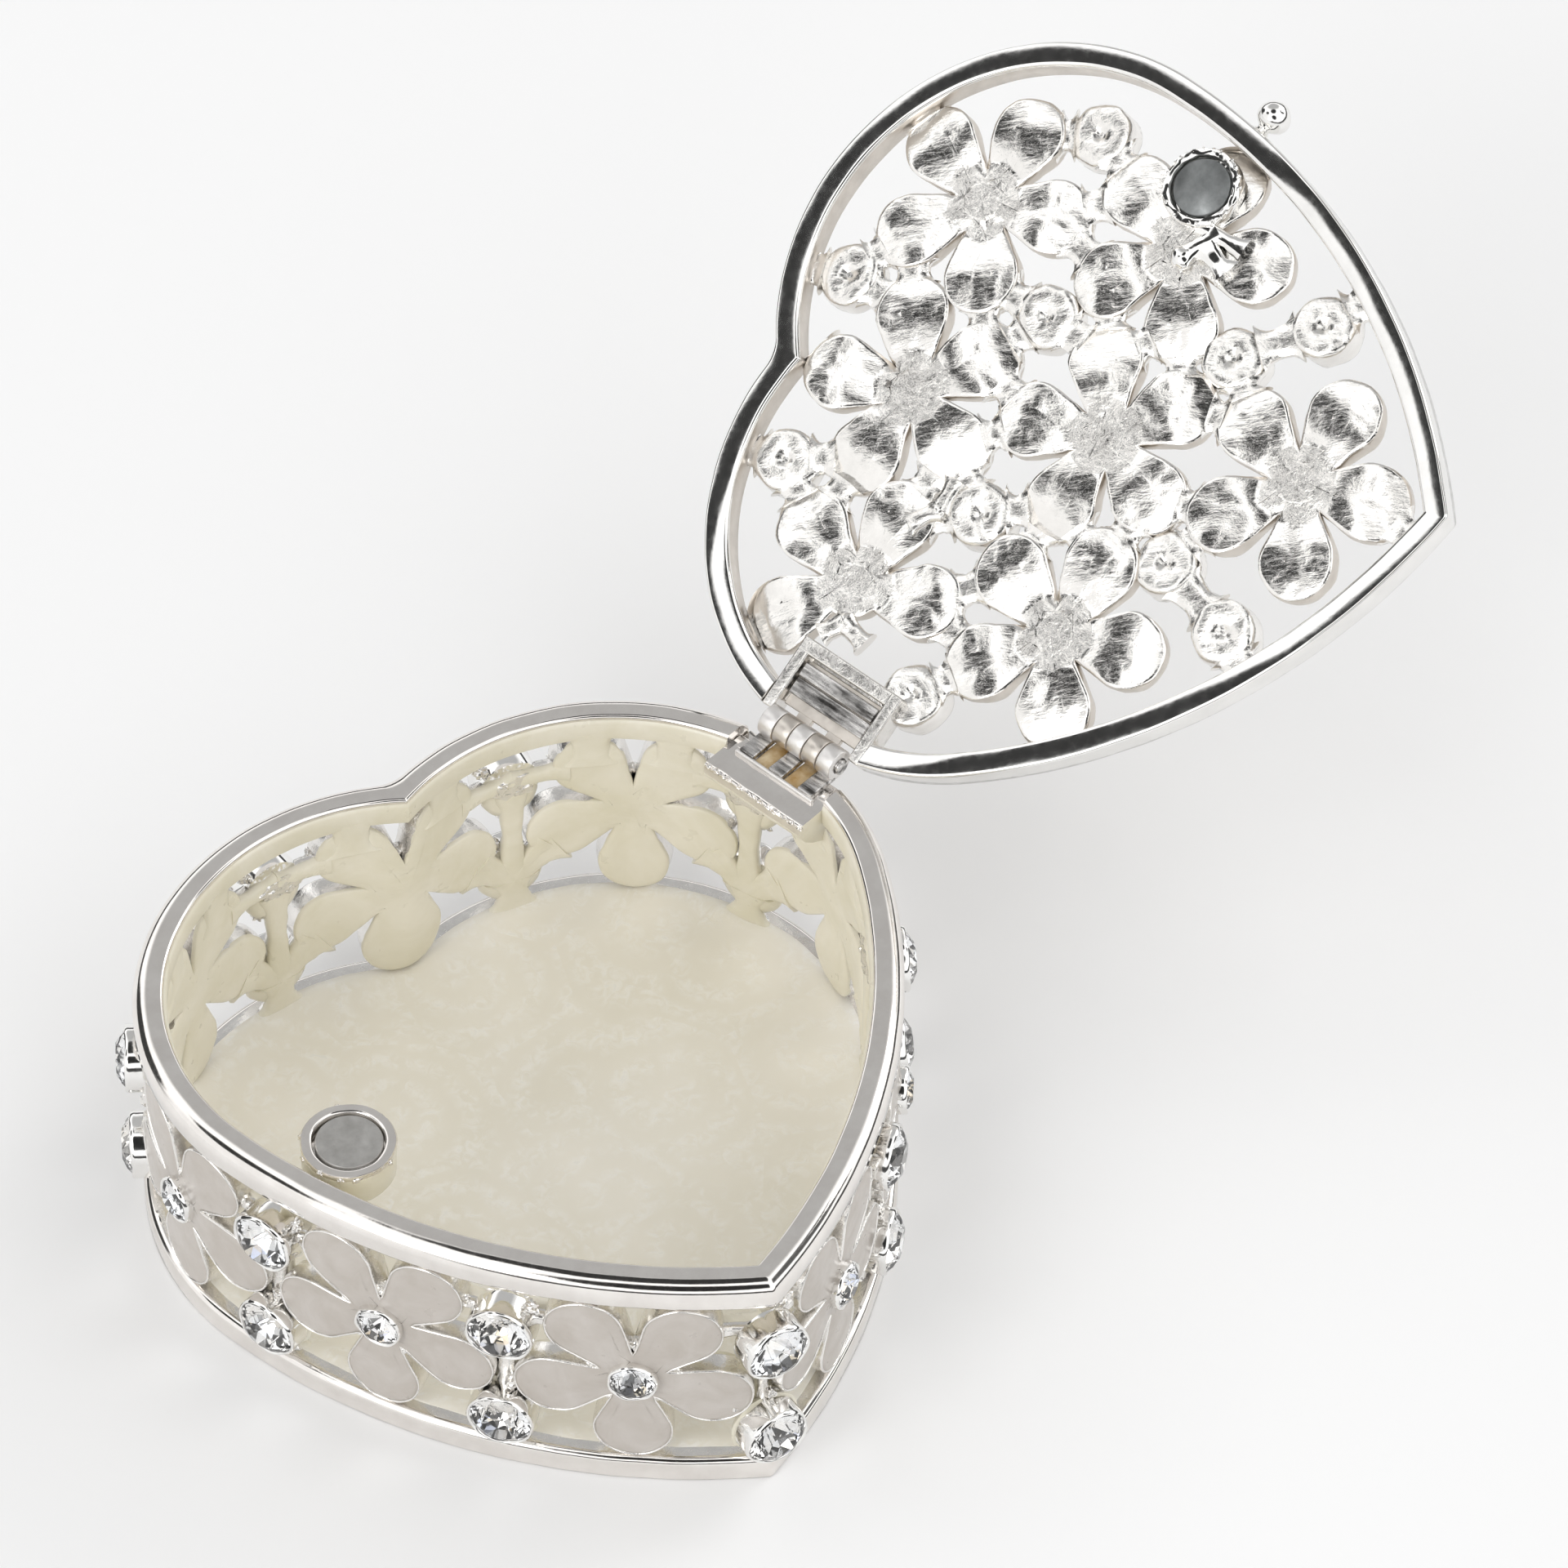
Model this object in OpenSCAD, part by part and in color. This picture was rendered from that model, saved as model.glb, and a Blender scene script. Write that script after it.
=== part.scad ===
// Heart shaped trinket box with a hinged openwork lid, set with stones and enamel flowers.
// The origin is on the face the box rests on, midway between the centres of the two lobes.
// +Z is up, the notch of the heart points to +Y and its tip to -Y. The lid is drawn standing open.

/* [Heart outline] */
// Width of the heart across both lobes
heart_w = 60; // [58:0.5:62]
// Radius of each lobe
lobe_r = 21.3; // [20.8:0.1:21.8]
// Radius of each long side
side_r = 53.5; // [52:0.5:55]
// Angle below the X axis at which a lobe runs into its long side
side_turn = 18.4; // [17:0.1:20]
// Radius that softens the notch between the lobes
notch_r = 4; // [2:0.5:5]

/* [Box] */
// Height of the box without its lid
box_h = 22.8; // [22:0.1:24]
// Height of the rim at the mouth
rim_h = 2.4; // [2:0.1:2.6]
// Width of the rim at the mouth
rim_w = 2.4; // [2.3:0.1:2.6]
// Height of the foot ring
foot_h = 2.3; // [2:0.1:2.5]
// Width of the foot ring
foot_w = 2.4; // [2.3:0.1:3.6]
// Thickness of the metal floor
floor_t = 1.5; // [1:0.1:1.7]
// Thickness of the enamel on the floor
floor_enamel_t = 0.4; // [0.3:0.05:0.6]
// How far the face of the cast wall is set back from the rims
wall_set = 0.4; // [0.2:0.1:0.6]
// Thickness of the cast wall
wall_t = 1.7; // [1.4:0.1:1.8]
// Thickness of the enamel inside the wall
lining_t = 0.2; // [0.15:0.05:0.3]

/* [Flowers] */
// Radius of the round end of a petal
petal_r = 3.05; // [2.8:0.05:3.1]
// Distance from a flower's centre to the end of a petal
petal_reach = 9.3; // [9:0.1:9.4]
// Width of a petal where it leaves the centre
petal_root = 2.6; // [2:0.1:3]
// Thickness of the enamel on a petal
petal_enamel_t = 0.25; // [0.2:0.05:0.3]
// Width of the bare metal edge around a petal's enamel
petal_edge = 0.4; // [0.3:0.05:0.5]

/* [Stones] */
// Radius of a large stone
stone_r = 2.25; // [2.1:0.05:2.3]
// Radius of a flower's centre stone
small_stone_r = 1.6; // [1.4:0.05:1.7]
// Wall of the cup that holds a stone
bezel_t = 0.4; // [0.3:0.05:0.45]
// How far a large stone's girdle stands above the metal around it
stone_lift = 1; // [0.8:0.1:1.2]
// How far a centre stone's girdle stands above its flower
small_lift = 0.7; // [0.5:0.1:0.8]

/* [Lid] */
// Gap between the closed lid and the rim
lid_gap = 0.15; // [0.1:0.05:0.2]
// Height of the lid's ring
ring_h = 2.6; // [2.4:0.1:2.8]
// Width of the lid's ring
ring_w = 2; // [1.8:0.1:2.2]
// Thickness of the lid's cast flowers
lid_flower_t = 1.4; // [1.2:0.1:1.5]
// Angle by which the lid stands open
open_angle = 146; // [140:1:148]
// Radius of the finger knob
knob_r = 1.4; // [1.2:0.1:1.5]

/* [Hinge] */
// Direction in which the hinge faces, measured from the X axis
hinge_turn = 17.2; // [16:0.1:18]
// Length of the row of knuckles
hinge_w = 7.5; // [7.5:0.1:7.7]
// Outer radius of a knuckle
barrel_r = 1.3; // [1.25:0.05:1.35]
// Radius of the hinge pin
pin_r = 0.6; // [0.5:0.05:0.7]
// Height of the pin above the rim
hinge_rise = 0.45; // [0.4:0.05:0.5]
// Thickness of the leaves
leaf_t = 0.5; // [0.4:0.05:0.55]
// Length of the gap in the rim and in the ring
hinge_gap = 10; // [9.6:0.1:10.4]

/* [Magnets] */
// Radius of the magnet in the box
box_magnet_r = 2.9; // [2.7:0.1:3]
// Radius of the magnet in the lid
lid_magnet_r = 2.5; // [2.3:0.1:2.6]
// Height of a magnet
magnet_h = 1.5; // [1.2:0.1:2]
// Angle of the magnets and the knob about the long side's centre
latch_turn = 26.2; // [25:0.1:27]
// Distance of the magnets from the outline
latch_in = 6.65; // [6.6:0.05:6.8]

/* [Hidden] */
$fn = 64;
eps = 0.01;

// Heart outline: lobe centres at (+-lobe_x, 0), long sides about (-+side_x, side_y).
lobe_x = heart_w / 2 - lobe_r;
side_x = (side_r - lobe_r) * cos(side_turn) - lobe_x;
side_y = (side_r - lobe_r) * sin(side_turn);
tip_y = side_y - sqrt(side_r * side_r - side_x * side_x);
tip_turn = atan2(tip_y - side_y, side_x);
cusp_y = sqrt(lobe_r * lobe_r - lobe_x * lobe_x);
cusp_turn = atan2(cusp_y, -lobe_x);
side_len = side_r * (-side_turn - tip_turn) * PI / 180;
lobe_len = lobe_r * (cusp_turn + side_turn) * PI / 180;
half_len = side_len + lobe_len;

// Heights in the box and, for the closed lid, above it.
wall_top = box_h - rim_h;
flower_z = (foot_h + wall_top) / 2 + 0.55;
upper_stone_z = 15.7;
lower_stone_z = 5.6;
wall_in = wall_set + wall_t;
ring_z = box_h + lid_gap;
ring_top = ring_z + ring_h;
lid_face = ring_top + 0.1;
lid_back = lid_face - lid_flower_t;
cup_r = stone_r + bezel_t;
small_cup_r = small_stone_r + bezel_t;

// Distances along the outline from the tip to the flowers and the pairs of stones.
flower_path = [10.5, 30.2, 50, 71.9, half_len, -71.9, -50, -30.2, -10.5];
post_path = [0, 20.4, 40.1, 61.3, 82.7, -82.7, -61.3, -40.1, -20.4];
post_reach = [4.4, 3.8, 3.8, 4.6, 4.6, 4.6, 4.6, 3.8, 3.8];

// Lid flowers: centre and the angle of the first petal. Stones: centres on the right half.
// The flower by the hinge lacks the petal whose place the hinge seat takes.
lid_flowers = [
    [0, 7.9, 90], [0, -9.1, 90], [0, -25.6, -90],
    [-16, 7.2, -90], [-15.8, -10.3, -90], [16, 7.2, -90], [15.8, -10.3, -90]
];
right_stones = [[7.8, 16.3], [23.3, -0.5], [8.2, -1.1], [8.4, -17.2], [12.5, -23.5]];
lid_stones = concat(right_stones, [for (p = right_stones) [-p[0], p[1]]]);
hinge_flower = 5;
hinge_petal = 1;

// Hinge: the pin is a little outside the outline, at the point whose normal is hinge_turn.
pin_out = 0.2;
pin_z = box_h + hinge_rise;
pin_x = lobe_x + (lobe_r + pin_out) * cos(hinge_turn);
pin_y = (lobe_r + pin_out) * sin(hinge_turn);
knuckle_w = hinge_w / 5;
knuckle_gap = 0.08;
pin_clear = 0.05;
leaf_z = hinge_rise + barrel_r;
base_leaf_in = 3;
lid_leaf_in = 5.6;
seat_depth = 7;
notch_in = 1.75;

// Latch: magnets and knob on one line through the left long side's centre.
magnet_x = side_x - (side_r - latch_in) * cos(latch_turn);
magnet_y = side_y - (side_r - latch_in) * sin(latch_turn);
magnet_cup_t = 0.9;
lid_cup_t = 0.75;
box_magnet_z = box_h - 0.25;
lid_magnet_z = ring_z + 0.05;

// ---- Outlines ----

// Heart, moved inwards by inset
module heart(inset = 0) {
    lr = lobe_r - inset;
    sr = side_r - inset;
    union() {
        for (m = [-1, 1]) translate([m * lobe_x, 0]) circle(r = lr, $fn = 128);
        intersection() {
            translate([-side_x, side_y]) circle(r = sr, $fn = 256);
            translate([side_x, side_y]) circle(r = sr, $fn = 256);
            translate([-heart_w, -2 * heart_w - lr * sin(side_turn)]) square(2 * heart_w);
        }
        if (inset < notch_r / 8) notch_fill(lr);
    }
}

// The metal that rounds off the notch between the lobes
module notch_fill(lr) {
    fill_y = sqrt(pow(lr + notch_r, 2) - lobe_x * lobe_x);
    touch = lr / (lr + notch_r);
    difference() {
        polygon([
            [0, 0], [lobe_x * (1 - touch), fill_y * touch],
            [0, fill_y], [-lobe_x * (1 - touch), fill_y * touch]
        ]);
        translate([0, fill_y]) circle(r = notch_r);
    }
}

// Heart shaped band between two insets
module band(outer, inner, z0, z1) {
    translate([0, 0, z0]) linear_extrude(z1 - z0) difference() {
        heart(outer);
        heart(inner);
    }
}

// The curve the wall follows near a distance along the outline: one long side, one lobe,
// both lobes at the notch or both sides at the tip
module wall_curve(inset, s) {
    m = s < 0 ? -1 : 1;
    if (abs(s) > half_len - eps) {
        for (k = [-1, 1]) translate([k * lobe_x, 0]) circle(r = lobe_r - inset, $fn = 128);
    } else if (abs(s) > side_len) {
        translate([m * lobe_x, 0]) circle(r = lobe_r - inset, $fn = 128);
    } else if (abs(s) > eps) {
        translate([-m * side_x, side_y]) circle(r = side_r - inset, $fn = 256);
    } else {
        intersection_for(k = [-1, 1]) translate([k * side_x, side_y]) circle(r = side_r - inset, $fn = 256);
    }
}

// Wall between two insets, as far as a piece at distance s needs it
module wall_shell(outer, inner, s) {
    translate([0, 0, foot_h]) linear_extrude(wall_top - foot_h) difference() {
        wall_curve(outer, s);
        wall_curve(inner, s);
    }
}

// One petal along +X: a round end and a body that narrows to the centre
module petal(shrink = 0) {
    r = petal_r - shrink;
    d = petal_reach - petal_r;
    h = petal_root / 2 - shrink / 2;
    shoulder = r * 0.985;
    union() {
        translate([d, 0]) circle(r = r);
        polygon([[0, -h], [d, -shoulder], [d, shoulder], [0, h]]);
    }
}

// Five petals around a centre, leaving out the one numbered skip
module flower(first = -90, skip = -1) {
    union() {
        for (i = [0:4]) if (i != skip) rotate(first + 72 * i) petal();
        circle(r = small_cup_r + 0.3);
    }
}

// The enamel field of each petal, clear of the centre stone's cup
module petal_fields(first = -90, skip = -1) {
    difference() {
        for (i = [0:4]) if (i != skip) rotate(first + 72 * i) petal(petal_edge);
        circle(r = small_cup_r + 0.25);
    }
}

// ---- Placing ----

// Angle of the outward normal at a distance along the right half from the tip
function wall_turn(s) = s < side_len
    ? tip_turn + s / side_r * 180 / PI
    : -side_turn + (s - side_len) / lobe_r * 180 / PI;

// Point of the outline at a distance along the right half from the tip
function wall_point(s) = s < side_len
    ? [-side_x + side_r * cos(wall_turn(s)), side_y + side_r * sin(wall_turn(s))]
    : [lobe_x + lobe_r * cos(wall_turn(s)), lobe_r * sin(wall_turn(s))];

// Puts children on the outline: +X outwards, +Y along the wall. Negative distances are on the left half.
module at_wall(s) {
    p = wall_point(abs(s));
    middle = abs(s) < eps || abs(s) > half_len - eps;
    turn = middle ? (s > 1 ? 90 : -90) : (s < 0 ? 180 - wall_turn(-s) : wall_turn(s));
    translate([s < 0 ? -p[0] : p[0], p[1], 0]) rotate(turn) children();
}

// A prism through the wall whose section is the children's outline, drawn as seen from outside
module through_wall(z) {
    translate([-6, 0, z]) rotate([90, 0, 90]) linear_extrude(9) children();
}

// Puts children at the lid's place when it stands open
module lid_place() {
    translate([pin_x, pin_y, pin_z]) rotate(hinge_turn)
        rotate([0, open_angle, 0])
            rotate(-hinge_turn) translate([-pin_x, -pin_y, -pin_z]) children();
}

// Hinge frame: X outwards from the pin, Y along the pin, Z up
module at_hinge() {
    translate([pin_x, pin_y, pin_z]) rotate(hinge_turn) children();
}

// ---- Stones and their cups ----

// Round cut stone of girdle radius r, girdle at z = 0 and table upwards
module stone(r) {
    table = r * 0.55;
    crown = r * 0.32;
    girdle = r * 0.08;
    rotate_extrude() polygon([
        [0, -r * 0.75], [r, -girdle], [r, 0], [table, crown], [0, crown]
    ]);
}

// Cup around a stone of radius r, from its girdle down to depth
module cup(r, depth) {
    difference() {
        translate([0, 0, -depth]) cylinder(r = r + bezel_t, h = depth + r * 0.06);
        stone(r);
        cylinder(r = r, h = r);
    }
}

module wall_stone_places(i) {
    at_wall(post_path[i]) for (z = [upper_stone_z, lower_stone_z])
        translate([-wall_set + stone_lift, 0, z]) rotate([0, 90, 0]) children();
}

module wall_centre_place(i) {
    at_wall(flower_path[i]) translate([-wall_set + small_lift, 0, flower_z])
        rotate([0, 90, 0]) children();
}

// ---- Box ----

module floor_plate() {
    color("silver") linear_extrude(floor_t) heart(foot_w);
}

module floor_enamel() {
    color("ivory") translate([0, 0, floor_t]) linear_extrude(floor_enamel_t) heart(foot_w);
}

module foot_ring() {
    color("silver") band(0, foot_w, 0, foot_h);
}

module mouth_rim() {
    color("silver") difference() {
        band(0, rim_w, wall_top, box_h);
        at_hinge() translate([-6, -hinge_gap / 2, -6]) cube([9, hinge_gap, 9]);
    }
}

module flower_cut(i) {
    at_wall(flower_path[i]) through_wall(flower_z) {
        flower();
        translate([-0.8, -flower_z + foot_h]) square([1.6, 1.5]);
        for (m = [-1, 1]) translate([m * 3.7 - 1.3, wall_top - flower_z - 1.5]) square([2.6, 1.5]);
    }
}

module wall_flower(i) {
    color("silver") difference() {
        union() {
            intersection() {
                wall_shell(wall_set, wall_in, flower_path[i]);
                flower_cut(i);
            }
            wall_centre_place(i) cup(small_stone_r, small_lift + wall_t * 0.6);
        }
        wall_centre_place(i) stone(small_stone_r);
    }
}

// The stems that tie a pair of cups to each other and to the foot, and the nubs to the petals beside them
module post_cut(i) {
    reach = post_reach[i];
    at_wall(post_path[i]) through_wall(0) {
        translate([-0.9, lower_stone_z]) square([1.8, upper_stone_z - lower_stone_z]);
        translate([-1, foot_h]) square([2, lower_stone_z - foot_h]);
        translate([-reach - 0.5, upper_stone_z + 0.4]) square([2 * reach + 1, 1]);
        for (turn = [48, 132]) translate([0, lower_stone_z]) rotate(turn)
            translate([0, -0.5]) square([reach, 1]);
    }
}

module stone_post(i) {
    color("silver") difference() {
        union() {
            intersection() {
                wall_shell(wall_set, wall_in, post_path[i]);
                post_cut(i);
            }
            wall_stone_places(i) cup(stone_r, stone_lift + wall_t * 0.8);
        }
        wall_stone_places(i) stone(stone_r);
        for (k = [i, (i + 8) % 9]) at_wall(flower_path[k]) through_wall(flower_z) flower();
    }
}

module wall_petal_enamel() {
    color("white") for (i = [0:8]) intersection() {
        wall_shell(wall_set - petal_enamel_t, wall_set, flower_path[i]);
        at_wall(flower_path[i]) through_wall(flower_z) petal_fields();
    }
}

module wall_lining_enamel() {
    color("ivory") for (i = [0:8]) intersection() {
        wall_shell(wall_in, wall_in + lining_t, flower_path[i]);
        at_wall(flower_path[i]) through_wall(flower_z) flower();
    }
}

module wall_stones() {
    color("lightcyan") for (i = [0:8]) wall_stone_places(i) stone(stone_r);
}

module wall_centre_stones() {
    color("lightcyan") for (i = [0:8]) wall_centre_place(i) stone(small_stone_r);
}

// Cup that holds the box's magnet, with the arm that ties it to the wall
module box_magnet_cup() {
    outer = box_magnet_r + magnet_cup_t;
    cup_h = magnet_h + 2.4;
    color("silver") union() {
        translate([magnet_x, magnet_y, box_magnet_z - cup_h]) difference() {
            cylinder(r = outer, h = cup_h);
            translate([0, 0, cup_h - magnet_h]) cylinder(r = box_magnet_r, h = magnet_h + 1);
        }
        difference() {
            translate([magnet_x, magnet_y, box_magnet_z - cup_h]) rotate(180 + latch_turn)
                translate([0, -1, 0]) cube([latch_in - 1, 2, 2.2]);
            translate([magnet_x, magnet_y, 0]) cylinder(r = outer - 0.4, h = box_h);
            difference() {
                cylinder(r = heart_w, h = box_h);
                linear_extrude(box_h) heart(rim_w);
            }
        }
    }
}

module box_magnet() {
    color("dimgray") translate([magnet_x, magnet_y, box_magnet_z - magnet_h])
        cylinder(r = box_magnet_r - 0.02, h = magnet_h - 0.05);
}

// ---- Hinge ----

// The fixed leaf's shelf inside the wall and its sill in the rim's gap
module box_hinge_seat() {
    top = -barrel_r;
    shelf_in = 6;
    shelf_h = 4;
    sill_h = pin_z - wall_top - barrel_r;
    color("silver") difference() {
        intersection() {
            at_hinge() union() {
                translate([-shelf_in, -hinge_gap / 2, top - shelf_h])
                    cube([shelf_in - rim_w - pin_out - 0.02, hinge_gap, shelf_h]);
                translate([-base_leaf_in, -hinge_gap / 2, top - sill_h])
                    cube([base_leaf_in, hinge_gap, sill_h]);
            }
            linear_extrude(box_h) heart(0.3);
        }
        translate([0, 0, foot_h]) linear_extrude(wall_top - foot_h) difference() {
            heart(0);
            heart(wall_in + lining_t);
        }
        at_hinge() translate([-notch_in, -hinge_gap, top - 0.45]) cube([4, 2 * hinge_gap, 2]);
    }
}

// Tube of one knuckle, numbered 0 to 4 along the pin
module knuckle(i) {
    translate([0, -hinge_w / 2 + i * knuckle_w + knuckle_gap / 2, 0]) rotate([-90, 0, 0])
        cylinder(r = barrel_r, h = knuckle_w - knuckle_gap);
}

// A leaf lying flat, with the strips that carry its knuckles
module leaf(reach, knuckles, z) {
    union() {
        translate([-reach, -hinge_w / 2, z]) cube([reach - notch_in, hinge_w, leaf_t]);
        for (i = knuckles) {
            translate([-notch_in - eps, -hinge_w / 2 + i * knuckle_w + knuckle_gap / 2, z])
                cube([notch_in + eps, knuckle_w - knuckle_gap, leaf_t]);
            knuckle(i);
        }
    }
}

module pin_bore() {
    translate([0, hinge_w, 0]) rotate([90, 0, 0]) cylinder(r = pin_r + pin_clear, h = 2 * hinge_w);
}

module box_hinge_leaf() {
    color("gainsboro") at_hinge() difference() {
        leaf(base_leaf_in, [0, 2, 4], -barrel_r);
        pin_bore();
    }
}

module hinge_pin() {
    head_t = 0.3;
    color("darkgray") at_hinge() translate([0, hinge_w / 2, 0]) rotate([90, 0, 0]) union() {
        cylinder(r = pin_r, h = hinge_w);
        translate([0, 0, -head_t]) cylinder(r = pin_r * 1.5, h = head_t - 0.02);
        translate([0, 0, hinge_w + 0.02]) cylinder(r = pin_r * 1.5, h = head_t - 0.02);
        translate([0, 0, -0.1]) cylinder(r = pin_r, h = hinge_w + 0.2);
    }
}

module lid_hinge_leaf() {
    lip_w = 1.2;
    lip_h = 0.7;
    color("gainsboro") lid_place() at_hinge() difference() {
        union() {
            leaf(lid_leaf_in, [1, 3], barrel_r - leaf_t);
            translate([-lid_leaf_in, -hinge_w / 2, barrel_r - leaf_t - lip_h])
                cube([lip_w, hinge_w, lip_h + eps]);
        }
        pin_bore();
    }
}

// Cast frame that holds the lid's leaf: a roof, a back and two cheeks
module lid_hinge_seat() {
    z0 = -hinge_rise + lid_gap + 0.15;
    z1 = -hinge_rise + lid_gap + ring_h - 0.3;
    depth = seat_depth;
    cheek = (hinge_gap - hinge_w) / 2 - 0.1;
    color("silver") lid_place() intersection() {
        at_hinge() difference() {
            translate([-depth, -hinge_gap / 2, z0]) cube([depth - 0.7, hinge_gap, z1 - z0]);
            translate([-lid_leaf_in - 0.1, -hinge_gap / 2 + cheek, z0 - 1])
                cube([depth, hinge_gap - 2 * cheek, barrel_r - z0 + 1]);
            translate([-notch_in, -hinge_gap / 2 + cheek, z0 - 1])
                cube([depth, hinge_gap - 2 * cheek, z1 - z0 + 2]);
        }
        translate([0, 0, ring_z]) linear_extrude(2 * ring_h) heart(0.3);
    }
}

// ---- Lid ----

module lid_ring() {
    color("silver") lid_place() difference() {
        band(0, ring_w, ring_z, ring_top);
        at_hinge() translate([-6, -hinge_gap / 2, -6]) cube([9, hinge_gap, 12]);
    }
}

module lid_flower_outline(i) {
    f = lid_flowers[i];
    difference() {
        translate([f[0], f[1]]) flower(f[2], i == hinge_flower ? hinge_petal : -1);
        for (p = lid_stones) translate(p) circle(r = cup_r);
        hinge_seat_plan();
        ring_plan();
    }
}

module lid_centre_place(i) {
    f = lid_flowers[i];
    translate([f[0], f[1], lid_face + small_lift]) children();
}

module lid_flower(i) {
    color("silver") lid_place() difference() {
        union() {
            translate([0, 0, lid_back]) linear_extrude(lid_flower_t) lid_flower_outline(i);
            lid_centre_place(i) cup(small_stone_r, small_lift + lid_flower_t * 0.7);
        }
        lid_centre_place(i) stone(small_stone_r);
    }
}

// Middle of every petal's round end and of every cup, each with the number of the flower or cup
petal_ends = [
    for (k = [0:6]) for (i = [0:4]) if (k != hinge_flower || i != hinge_petal)
        let (f = lid_flowers[k], t = f[2] + 72 * i)
            [f[0] + (petal_reach - petal_r) * cos(t), f[1] + (petal_reach - petal_r) * sin(t), k]
];
web_spots = concat(petal_ends, [for (k = [0:9]) [lid_stones[k][0], lid_stones[k][1], 7 + k]]);
web_gap = 1.3;
cup_gap = 2.4;

// Short stems between neighbouring petals and cups, and from the outer ones to the ring
module lid_web() {
    count = len(web_spots);
    color("silver") lid_place() translate([0, 0, lid_back]) linear_extrude(lid_flower_t - 0.3)
        difference() {
            intersection() {
                union() {
                    for (a = [0:count - 2]) for (b = [a + 1:count - 1])
                        if (tied(web_spots[a], web_spots[b])) bar(web_spots[a], web_spots[b], 1.2);
                    for (p = web_spots) ring_bar(p);
                }
                heart(ring_w);
            }
            for (i = [0:6]) lid_flower_outline(i);
            for (p = lid_stones) translate(p) circle(r = cup_r);
            hinge_seat_plan();
        }
}

// Whether a stem ties two spots: they belong to different flowers or cups with a small gap between them
function spot_r(p) = p[2] < 7 ? petal_r : cup_r;
function spot_gap(p, q) = norm([p[0] - q[0], p[1] - q[1]]) - spot_r(p) - spot_r(q);
function tied(p, q) = p[2] != q[2] && spot_gap(p, q) > 0.15
    && spot_gap(p, q) < (p[2] > 6 && q[2] > 6 ? cup_gap : web_gap);

// Straight bar between two points
module bar(p, q, w) {
    d = [q[0] - p[0], q[1] - p[1]];
    translate([p[0], p[1]]) rotate(atan2(d[1], d[0])) translate([0, -w / 2]) square([norm(d), w]);
}

// Bar from a spot near the ring straight out to it
module ring_bar(p) {
    right = p[0] >= 0;
    low = p[1] < -lobe_r * sin(side_turn);
    centre = low ? [right ? -side_x : side_x, side_y] : [right ? lobe_x : -lobe_x, 0];
    r = low ? side_r : lobe_r;
    d = [p[0], p[1]] - centre;
    if (r - norm(d) < petal_r + ring_w + 1.6) bar(p, centre + d / norm(d) * r, 1.4);
}

// Plan of the lid's ring
module ring_plan() {
    difference() {
        circle(r = heart_w);
        heart(ring_w);
    }
}

// Plan of the lid's hinge seat
module hinge_seat_plan() {
    translate([pin_x, pin_y]) rotate(hinge_turn)
        translate([-seat_depth, -hinge_gap / 2]) square([seat_depth + 1, hinge_gap]);
}

module lid_stone_places() {
    for (p = lid_stones) translate([p[0], p[1], lid_face + stone_lift]) children();
}

module lid_stone_cups() {
    color("silver") lid_place() difference() {
        lid_stone_places() cup(stone_r, stone_lift + lid_flower_t);
        translate([0, 0, ring_z]) linear_extrude(ring_h - 0.3) hinge_seat_plan();
    }
}

module lid_petal_enamel() {
    color("white") lid_place() translate([0, 0, lid_face]) linear_extrude(petal_enamel_t)
        difference() {
            for (i = [0:6]) translate([lid_flowers[i][0], lid_flowers[i][1]])
                petal_fields(lid_flowers[i][2], i == hinge_flower ? hinge_petal : -1);
            for (p = lid_stones) translate(p) circle(r = cup_r + 0.1);
        }
}

module lid_stones() {
    color("lightcyan") lid_place() lid_stone_places() stone(stone_r);
}

module lid_centre_stones() {
    color("lightcyan") lid_place() for (i = [0:6]) lid_centre_place(i) stone(small_stone_r);
}

module lid_magnet_cup() {
    outer = lid_magnet_r + lid_cup_t;
    color("silver") lid_place() translate([magnet_x, magnet_y, 0]) difference() {
        translate([0, 0, lid_magnet_z]) cylinder(r = outer, h = lid_back - lid_magnet_z);
        translate([0, 0, lid_magnet_z - 1]) cylinder(r = lid_magnet_r, h = 2);
    }
}

module lid_magnet() {
    color("dimgray") lid_place() translate([magnet_x, magnet_y, lid_magnet_z + 0.1])
        cylinder(r = lid_magnet_r - 0.02, h = 0.9);
}

// Ball on a short neck, on the ring's outer face
module lid_knob() {
    out = side_r + 1.5;
    color("silver") lid_place() translate([side_x, side_y, ring_z + ring_h / 2])
        rotate(180 + latch_turn) difference() {
            union() {
                translate([out, 0, 0]) sphere(r = knob_r);
                translate([side_r - 1, 0, 0]) rotate([0, 90, 0]) cylinder(r = 0.7, h = 2);
            }
            translate([0, 0, -10]) cylinder(r = side_r, h = 20, $fn = 256);
        }
}

// ---- One line for each node ----

floor_plate();
floor_enamel();
foot_ring();
mouth_rim();
for (i = [1:9]) wall_flower(i - 1);
for (i = [1:9]) stone_post(i - 1);
wall_petal_enamel();
wall_lining_enamel();
wall_stones();
wall_centre_stones();
box_magnet_cup();
box_magnet();
box_hinge_seat();
box_hinge_leaf();
hinge_pin();
lid_ring();
for (i = [1:7]) lid_flower(i - 1);
lid_web();
lid_stone_cups();
lid_petal_enamel();
lid_stones();
lid_centre_stones();
lid_magnet_cup();
lid_magnet();
lid_hinge_seat();
lid_hinge_leaf();
lid_knob();
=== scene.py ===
import random
from math import acos, asin, atan2, cos, dist, hypot, pi, radians, sin, sqrt

import bmesh
import bpy
import numpy as np
from mathutils import Matrix, Vector, noise


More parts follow.
